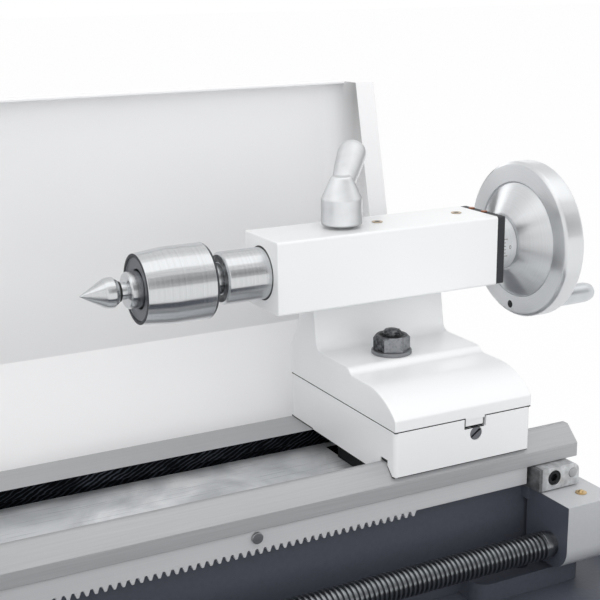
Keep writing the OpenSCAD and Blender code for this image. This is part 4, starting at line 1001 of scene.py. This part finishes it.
def tail_handwheel(marks):
    """The dished handwheel, its grip and the graduated dial."""
    rim = box_mm("tailstock_handwheel")[1][2] - AXIS_Z / MM
    finished("tailstock_handwheel",
             [(6.6, tail(168.2)), (16.8, tail(167.9), 0.3), (18, tail(168.1), 0.5), (36, tail(179.8), 0.15),
              (36.4, tail(180.6), 0), (36.9, tail(179.3), 0.1), (rim - 1.7, tail(179.3), 0.5),
              (rim, tail(181.0), 0.9), (rim, tail(192.3), 1.2), (rim - 1.8, tail(194.0), 0.8),
              (40.0, tail(194.0), 1.0), (37.0, tail(187.0), 3.0), (19.0, tail(175.0), 3.0),
              (16.0, tail(176.5), 1.0), (16.0, tail(196.0), 0.6), (6.6, tail(196.0))],
             "wheel", seg=192, closed=True)
    grip = (3.7 * MM, AXIS_Z - 43.1 * MM)
    turned("handwheel_grip",
           [(0, tail(193.6)), (6.3, tail(193.6), 0.3), (6.3, tail(196.5), 0.4), (5.0, tail(197.4), 0.6),
            (5.2, tail(198.6), 0.6), (6.5, tail(201), 1.6), (6.8, tail(228), 4), (6.5, tail(241), 3),
            (4.6, tail(246), 2.4), (0, tail(247))],
           "grip", "tail_wheel", slot=slot_of("tailstock_handwheel"), seg=64, centre=grip)
    turned("handwheel_grip_screw",
           [(0, tail(179.05)), (1.9, tail(179.05), 0.2), (2.5, tail(179.3), 0.1), (2.7, tail(180.2)),
            (0, tail(180.4))], "oxide", "tail_wheel", seg=32, centre=grip)
    dial = box_mm("tailstock_dial")[1][2] - AXIS_Z / MM
    finished("tailstock_dial",
             [(6.6, tail(155.6)), (15.8, tail(155.4), 0.3), (dial, tail(156.4), 0.5),
              (dial, tail(167.0), 0.5), (dial - 0.8, tail(167.8)), (6.6, tail(167.8))], "dial", closed=True)
    ticks("tailstock_dial_marks", marks, radius=dial, station=tail(156.6), short=2.2, long=4.0, width=0.32,
          key="ink", body="tail_wheel", centre=(0, AXIS_Z))
    figures("tailstock_dial_figures", marks, every=10, radius=dial, station=tail(161.2), height=3.4,
            key="ink", body="tail_wheel")


def clamp(edge):
    """The nut, threaded stud and washer that hold the tailstock to the bed."""
    # the nut's eased edges take lighter rubbed steel, partly real wear and partly a painted highlight
    dress("clamp_nut", "nut", 0.9 * edge, 2, 20, rub="rubbed")
    lo, hi = box_mm("clamp_bolt")
    foot, top, ledge = lo[2], hi[2], LEDGE_Z / MM
    stud = (tail(75.4) * MM, -19.4 * MM)
    core = [(0, foot), (4.9, foot, 0.3), (4.9, top - 3.0, 0.2), (4.1, top - 1.9, 0.5), (0, top - 1.3)]
    crest, depth, pitch = 5.6, 0.8, 1.75
    threaded("clamp_stud", crest, depth, ledge + 4, top - 3.2, pitch, "worn", "tailstock", stud, (core,),
             ("clamp_bolt",), 32, "z")
    turned("clamp_washer",
           [(6.5, ledge + 0.02), (12, ledge + 0.02, 0.3), (12, ledge + 2.3, 0.6), (6.5, ledge + 2.3)],
           "washer", "tailstock", ("clamp_bolt",), slot_of("clamp_bolt"), centre=stud, axis="z", closed=True)
    nut = box_mm("clamp_nut")[1][2]
    # painted shade: a dark ring where the stud leaves the nut
    turned("clamp_nut_mouth_shade", [(5.7, nut - 0.3), (5.7, nut + 0.03), (7.4, nut + 0.03, 0.1), (7.4, nut - 0.3)],
           "gap", BODY["clamp_nut"], seg=48, centre=stud, axis="z", closed=True)


def tail_fittings(edge):
    """The end plate's screws, the base's set screw and the two ball oilers on the barrel."""
    dress("tailstock_screws", "copper", 0.6 * edge, 2, part=lambda c: c.z > AXIS_Z, name="plate_screws")
    dress("tailstock_screws", "dark", 0.6 * edge, 2, part=lambda c: c.z < AXIS_Z, name="base_set_screw")
    dress("tailstock_oilers", "bronze", 0.4 * edge, 2)
    top = box_mm("tailstock_oilers")[1][2]
    stations, middle_y = (78, 134.5), 2 * MM
    for x in stations:
        turned("oiler_ball",
               [(0, top + 0.12), (1.0, top + 0.1, 0.2), (1.7, top + 0.02, 0.1), (1.7, top - 0.1),
                (0, top - 0.1)],
               "oxide", "tailstock", seg=32, centre=(tail(x) * MM, middle_y), axis="z")


class LATHE_OT_tailstock(bpy.types.Operator):
    """Turns the quill, live centre, dial and handwheel, and casts the lock lever"""

    bl_idname = "lathe.tailstock"
    bl_label = "Tailstock metal"

    def execute(self, context):
        s = context.scene.lathe_sizes
        quill_steel()
        live_centre()
        barrel_mouth()
        tail_handwheel(s.dial_marks)
        blended("lock_lever", "lever", 0.5 * MM, 2)
        dress("end_plate", "plate", 0.2 * s.casting_edge, 2)
        clamp(s.machined_edge)
        tail_fittings(s.machined_edge)
        coat(("feed_screw",), "ground")
        dress("clamp_plate", "oily", s.machined_edge, 2)
        return {"FINISHED"}


# bed, spindle, carriage and controls

class LATHE_OT_screws(bpy.types.Operator):
    """Cuts the leadscrew's thread and finishes the bed's small steel"""

    bl_idname = "lathe.screws"
    bl_label = "Leadscrew and rack"

    def execute(self, context):
        s = context.scene.lathe_sizes
        w = s.machined_edge
        lo, hi = box_mm("leadscrew")
        centre = ((lo[1] + hi[1]) / 2 * MM, (lo[2] + hi[2]) / 2 * MM)
        left, right = lo[0], hi[0]
        start, stop = left + 88, right - 43
        # the box's height is that of the end collar, 3 mm more in radius than the thread
        crest, depth = (hi[2] - lo[2]) / 2 - 3, 1.4
        core = [(0, left), (6.5, left, 0.4), (6.5, right - 4.6, 0.1), (11, right - 4.6, 0.4),
                (11, right - 1, 0.4), (6.5, right - 1, 0.1), (6.5, right, 0.4), (0, right)]
        collars = [[(6.4, a), (7.9, a, 0.3), (7.9, b, 0.3), (6.4, b)]
                   for a, b in ((start - 1.2, start + 0.6), (stop - 4.5, stop))]
        threaded("leadscrew_finished", crest, depth, start, stop, s.thread_pitch / MM, "lead",
                 "leadscrew", centre, [core] + collars, ("leadscrew",))
        dress("rack", "rack", 0.4 * w, 1)

        def cap_screw(c):
            end = abs(c.x - tail(143) * MM) < 5 * MM or c.x < tail(-600) * MM
            return end and abs(c.z - (WAY_Z - 16 * MM)) < 4.5 * MM

        dress("bed_fasteners", "oxide", w, 2, 30, part=cap_screw, name="bracket_cap_screws")
        dress("bed_fasteners", "ground", w, 2, 30, part=lambda c: not cap_screw(c), name="bed_pins")
        dress("bed_oilers", "brass", 0.6 * w, 2, 30)
        coat(("feet", "drive_belt"), "rubber")
        return {"FINISHED"}


class LATHE_OT_spindle(bpy.types.Operator):
    """Finishes the spindle, chuck, jaws, pulleys and gears"""

    bl_idname = "lathe.spindle"
    bl_label = "Spindle and drive"

    def execute(self, context):
        w = context.scene.lathe_sizes.machined_edge
        dress("chuck_body", "chuck", w, 2)
        for n in ("jaw_1", "jaw_2", "jaw_3"):
            dress(n, "ground", w, 2)
        coat(("spindle", "spindle_bearings", "spindle_pulley", "motor_pulley"), "steel")
        coat(("spindle_gear", "idler_gear", "leadscrew_gear", "carriage_pinion"), "ground")
        return {"FINISHED"}


class LATHE_OT_carriage(bpy.types.Operator):
    """Finishes the slides, tool post and carriage handwheels"""

    bl_idname = "lathe.carriage"
    bl_label = "Carriage"

    def execute(self, context):
        w = context.scene.lathe_sizes.machined_edge
        for n in ("cross_slide", "swivel_base", "top_slide"):
            dress(n, "iron", w, 2)
        dress("tool_post", "oxide", 1.5 * w, 2)
        dress("tool_screws", "oxide", w, 2)
        for n in ("carriage_handwheel", "cross_feed", "top_feed"):
            dress(n, "cast_wheel", w, 2)
        coat(("half_nut_upper", "half_nut_lower"), "brass")
        coat(("saddle_keepers",), "ground")
        for n in ("half_nut_lever", "tool_lever"):
            dress(n, "plastic", w, 2)
        return {"FINISHED"}


class LATHE_OT_controls(bpy.types.Operator):
    """Finishes the knob and the stop button"""

    bl_idname = "lathe.controls"
    bl_label = "Controls"

    def execute(self, context):
        w = context.scene.lathe_sizes.machined_edge
        dress("speed_knob", "plastic", w, 3)
        lo, hi = box_mm("speed_knob")
        x, front, z = (lo[0] + hi[0]) / 2, lo[1], (lo[2] + hi[2]) / 2
        slab("knob_pointer", (x - 0.7, front - 0.08, z + 1.5), (x + 0.7, front + 0.3, z + 9.5), "enamel",
             BODY["speed_knob"])
        dress("emergency_stop", "red", 2 * w, 3)
        return {"FINISHED"}


class LATHE_OT_fittings(bpy.types.Operator):
    """Sets the small screws on lid, panel and terminal box, and marks the motor cowl's slots"""

    bl_idname = "lathe.fittings"
    bl_label = "Small fittings"

    def execute(self, context):
        body = BODY["headstock"]
        right, top = box_mm("headstock")[1][0], box_mm("headstock")[1][2]
        lid = [(right + x, y, top - 0.1) for x in (-164, -32) for y in (-46, 36)]
        screw_heads("lid_screws", lid, radius=4.5, height=2.4, key="oxide", body=body)
        lo, hi = box_mm("control_panel")
        panel = [(x, lo[1] + 0.1, z) for x in (lo[0] + 9, hi[0] - 9) for z in (lo[2] + 9, hi[2] - 9)]
        screw_heads("panel_screws", panel, radius=3.6, height=1.8, key="rubbed", body=body, front=True)
        lo, hi = box_mm("motor")
        y, z = hi[1] - 47, lo[2] + 46
        terminals = [(hi[0] - 99 + i * 34, y + j * 15, hi[2] - 0.1) for i in (-1, 1) for j in (-1, 1)]
        screw_heads("terminal_box_screws", terminals, radius=3.0, height=1.6, key="rubbed", body=body)
        ticks("motor_cowl_slots", 30, radius=46, station=hi[0] - 40, short=24, long=24, width=3.4, key="gap",
              body=body, centre=(y * MM, z * MM))
        return {"FINISHED"}


# stage

def flat_square(name, size, home):
    """A level square of a given half width, in metres."""
    bm = bmesh.new()
    bmesh.ops.create_grid(bm, x_segments=1, y_segments=1, size=size)
    me = bpy.data.meshes.new(name)
    bm.to_mesh(me)
    bm.free()
    return stand(name, me, home)


def floor(home):
    """A pale floor that looks nearly white to the camera and in reflections."""
    o = flat_square("floor", 12, home)
    m, t, _ = blank("Pale studio floor")
    ray = put(t, "ShaderNodeLightPath").outputs
    lit = put(t, "ShaderNodeBsdfDiffuse", {"Color": tone("#F3F4F5")})
    glow = put(t, "ShaderNodeEmission", {"Color": (1, 1, 1, 1), "Strength": 1.0})
    seen = put(t, "ShaderNodeMath", links={0: ray["Is Camera Ray"], 1: ray["Is Glossy Ray"]},
               operation="MAXIMUM")
    share = put(t, "ShaderNodeMath", {1: 0.96}, {0: seen}, operation="MULTIPLY")
    surface = put(t, "ShaderNodeMixShader", links={0: share, 1: lit, 2: glow})
    put(t, "ShaderNodeOutputMaterial", links={"Surface": surface})
    o.data.materials.append(m)


def surroundings(scene):
    """White all round, and a little dimmer as light on the lathe."""
    w = bpy.data.worlds.new("studio")
    scene.world = w
    w.use_nodes = True
    t = w.node_tree
    t.nodes.clear()
    ray = put(t, "ShaderNodeLightPath").outputs
    seen = put(t, "ShaderNodeMath", links={0: ray["Is Camera Ray"], 1: ray["Is Glossy Ray"]},
               operation="MAXIMUM")
    soft = put(t, "ShaderNodeBackground", {"Color": (1, 1, 1, 1), "Strength": 0.8})
    white = put(t, "ShaderNodeBackground", {"Color": (1, 1, 1, 1), "Strength": 1.0})
    mix = put(t, "ShaderNodeMixShader", links={0: seen, 1: soft, 2: white})
    put(t, "ShaderNodeOutputWorld", links={"Surface": mix})


def lamps(home):
    """Soft square lamps: name, place, aim, width in metres and power in watts."""
    for name, place, aim, size, power in (
        ("front_light", (0.0, -1.95, 0.75), (0.2, 0.0, 0.15), 2.4, 11),
        ("top_light", (0.2, -0.2, 1.9), (0.2, 0.0, 0.1), 1.6, 4.2),
        ("side_light", (-6.0, -1.5, 1.5), (0.3, 0.0, 0.2), 4.0, 85),
    ):
        lamp = bpy.data.lights.new(name, "AREA")
        lamp.shape, lamp.size, lamp.energy = "SQUARE", size, power
        o = stand(name, lamp, home)
        o.location = place
        o.rotation_euler = (Vector(aim) - Vector(place)).to_track_quat("-Z", "Y").to_euler()
        o.visible_glossy = False


def cards(home):
    """Cards out of view, mirrored by the turned metal as its grey bands and streaks.

    Each has its angle up from the front and its spread, in degrees round the spindle axis, its grey, and its
    distance, left end and right end in metres.
    """
    for angle, spread, grey, far, left, right in (
        (13, 10, 0.52, 1.6, 0.0, 2.2),
        (24, 12, 0.38, 1.6, 0.0, 2.2),
        (36, 12, 0.5, 1.6, 0.0, 2.2),
        (46, 2, 0.6, 1.6, -1.8, 2.2),
        (52, 2.5, 0.6, 1.6, -1.8, 2.2),
        (59, 1.5, 0.6, 1.6, -1.8, 2.2),
        (80, 38, 1.35, 1.6, -1.8, 2.2),
        (131, 38, 0.85, 1.6, -1.8, 2.2),
        (162, 12, 1.6, 1.6, -1.8, 2.2),
        (176, 12, 0.05, 0.8, 0.2, 2.2),
        (191, 12, 2.4, 0.6, 0.3, 1.5),
        (195, 14, 0.38, 0.6, -1.2, 0.2),
        (206, 9, 0.5, 0.45, -1.2, 2.2),
    ):
        turn = math.radians(angle)
        o = flat_square("studio_card", 0.5, home)
        o.location = ((left + right) / 2, -far * math.cos(turn), AXIS_Z + far * math.sin(turn))
        o.rotation_euler = (math.pi / 2 - turn, 0, 0)
        o.scale = (right - left, 2 * far * math.tan(math.radians(spread / 2)), 1)
        o.visible_camera = o.visible_diffuse = o.visible_shadow = o.visible_transmission = False
        m, t, _ = blank("Grey studio card")
        surface = put(t, "ShaderNodeEmission", {"Color": (grey, grey, grey, 1), "Strength": 1.0})
        put(t, "ShaderNodeOutputMaterial", links={"Surface": surface})
        o.data.materials.append(m)


def camera(scene):
    """The photograph's viewpoint."""
    s = scene.lathe_stage
    a, e, r = s.azimuth, s.elevation, s.roll
    ahead = Vector((math.sin(a) * math.cos(e), math.cos(a) * math.cos(e), -math.sin(e)))
    level = Vector((math.cos(a), -math.sin(a), 0))
    below = ahead.cross(level)
    right = math.cos(r) * level + math.sin(r) * below
    down = math.cos(r) * below - math.sin(r) * level
    cam = bpy.data.cameras.new("camera")
    cam.lens, cam.sensor_width, cam.clip_start = s.lens, 36.0, 0.01
    o = stand("camera", cam, scene.collection)
    place = Vector(s.stand) + Vector((TAIL_X, 0, AXIS_Z))
    o.matrix_world = Matrix.Translation(place) @ Matrix((right, -down, -ahead)).transposed().to_4x4()
    scene.camera = o


class LATHE_OT_stage(bpy.types.Operator):
    """Sets the floor, the studio light and the camera"""

    bl_idname = "lathe.stage"
    bl_label = "Stage"

    def execute(self, context):
        scene = context.scene
        scene.view_settings.view_transform = "Standard"
        floor(scene.collection)
        surroundings(scene)
        lamps(scene.collection)
        cards(scene.collection)
        camera(scene)
        return {"FINISHED"}


class LATHE_PT_looks(bpy.types.Panel):
    """Lists the finishing steps"""

    bl_idname = "LATHE_PT_looks"
    bl_label = "Lathe looks"
    bl_space_type = "VIEW_3D"
    bl_region_type = "UI"
    bl_category = "Lathe"

    def draw(self, context):
        for op in STEPS:
            self.layout.operator(op.bl_idname)
        for group in (context.scene.lathe_sizes, context.scene.lathe_colours, context.scene.lathe_stage):
            box = self.layout.box()
            for name in group.bl_rna.properties.keys():
                if name not in ("rna_type", "name"):
                    box.prop(group, name)


STEPS = (LATHE_OT_stage, LATHE_OT_castings, LATHE_OT_tailstock, LATHE_OT_screws, LATHE_OT_spindle,
         LATHE_OT_carriage, LATHE_OT_controls, LATHE_OT_fittings)
GROUPS = (LatheColours, LatheSizes, StageSettings)


def register():
    for c in GROUPS + STEPS + (LATHE_PT_looks,):
        bpy.utils.register_class(c)
    bpy.types.Scene.lathe_colours = bpy.props.PointerProperty(type=LatheColours)
    bpy.types.Scene.lathe_sizes = bpy.props.PointerProperty(type=LatheSizes)
    bpy.types.Scene.lathe_stage = bpy.props.PointerProperty(type=StageSettings)


def unregister():
    del bpy.types.Scene.lathe_stage, bpy.types.Scene.lathe_sizes, bpy.types.Scene.lathe_colours
    for c in reversed(GROUPS + STEPS + (LATHE_PT_looks,)):
        bpy.utils.unregister_class(c)


def main():
    register()
    for op in STEPS:
        group, name = op.bl_idname.split(".")
        getattr(getattr(bpy.ops, group), name)()


if __name__ == "__main__":
    main()
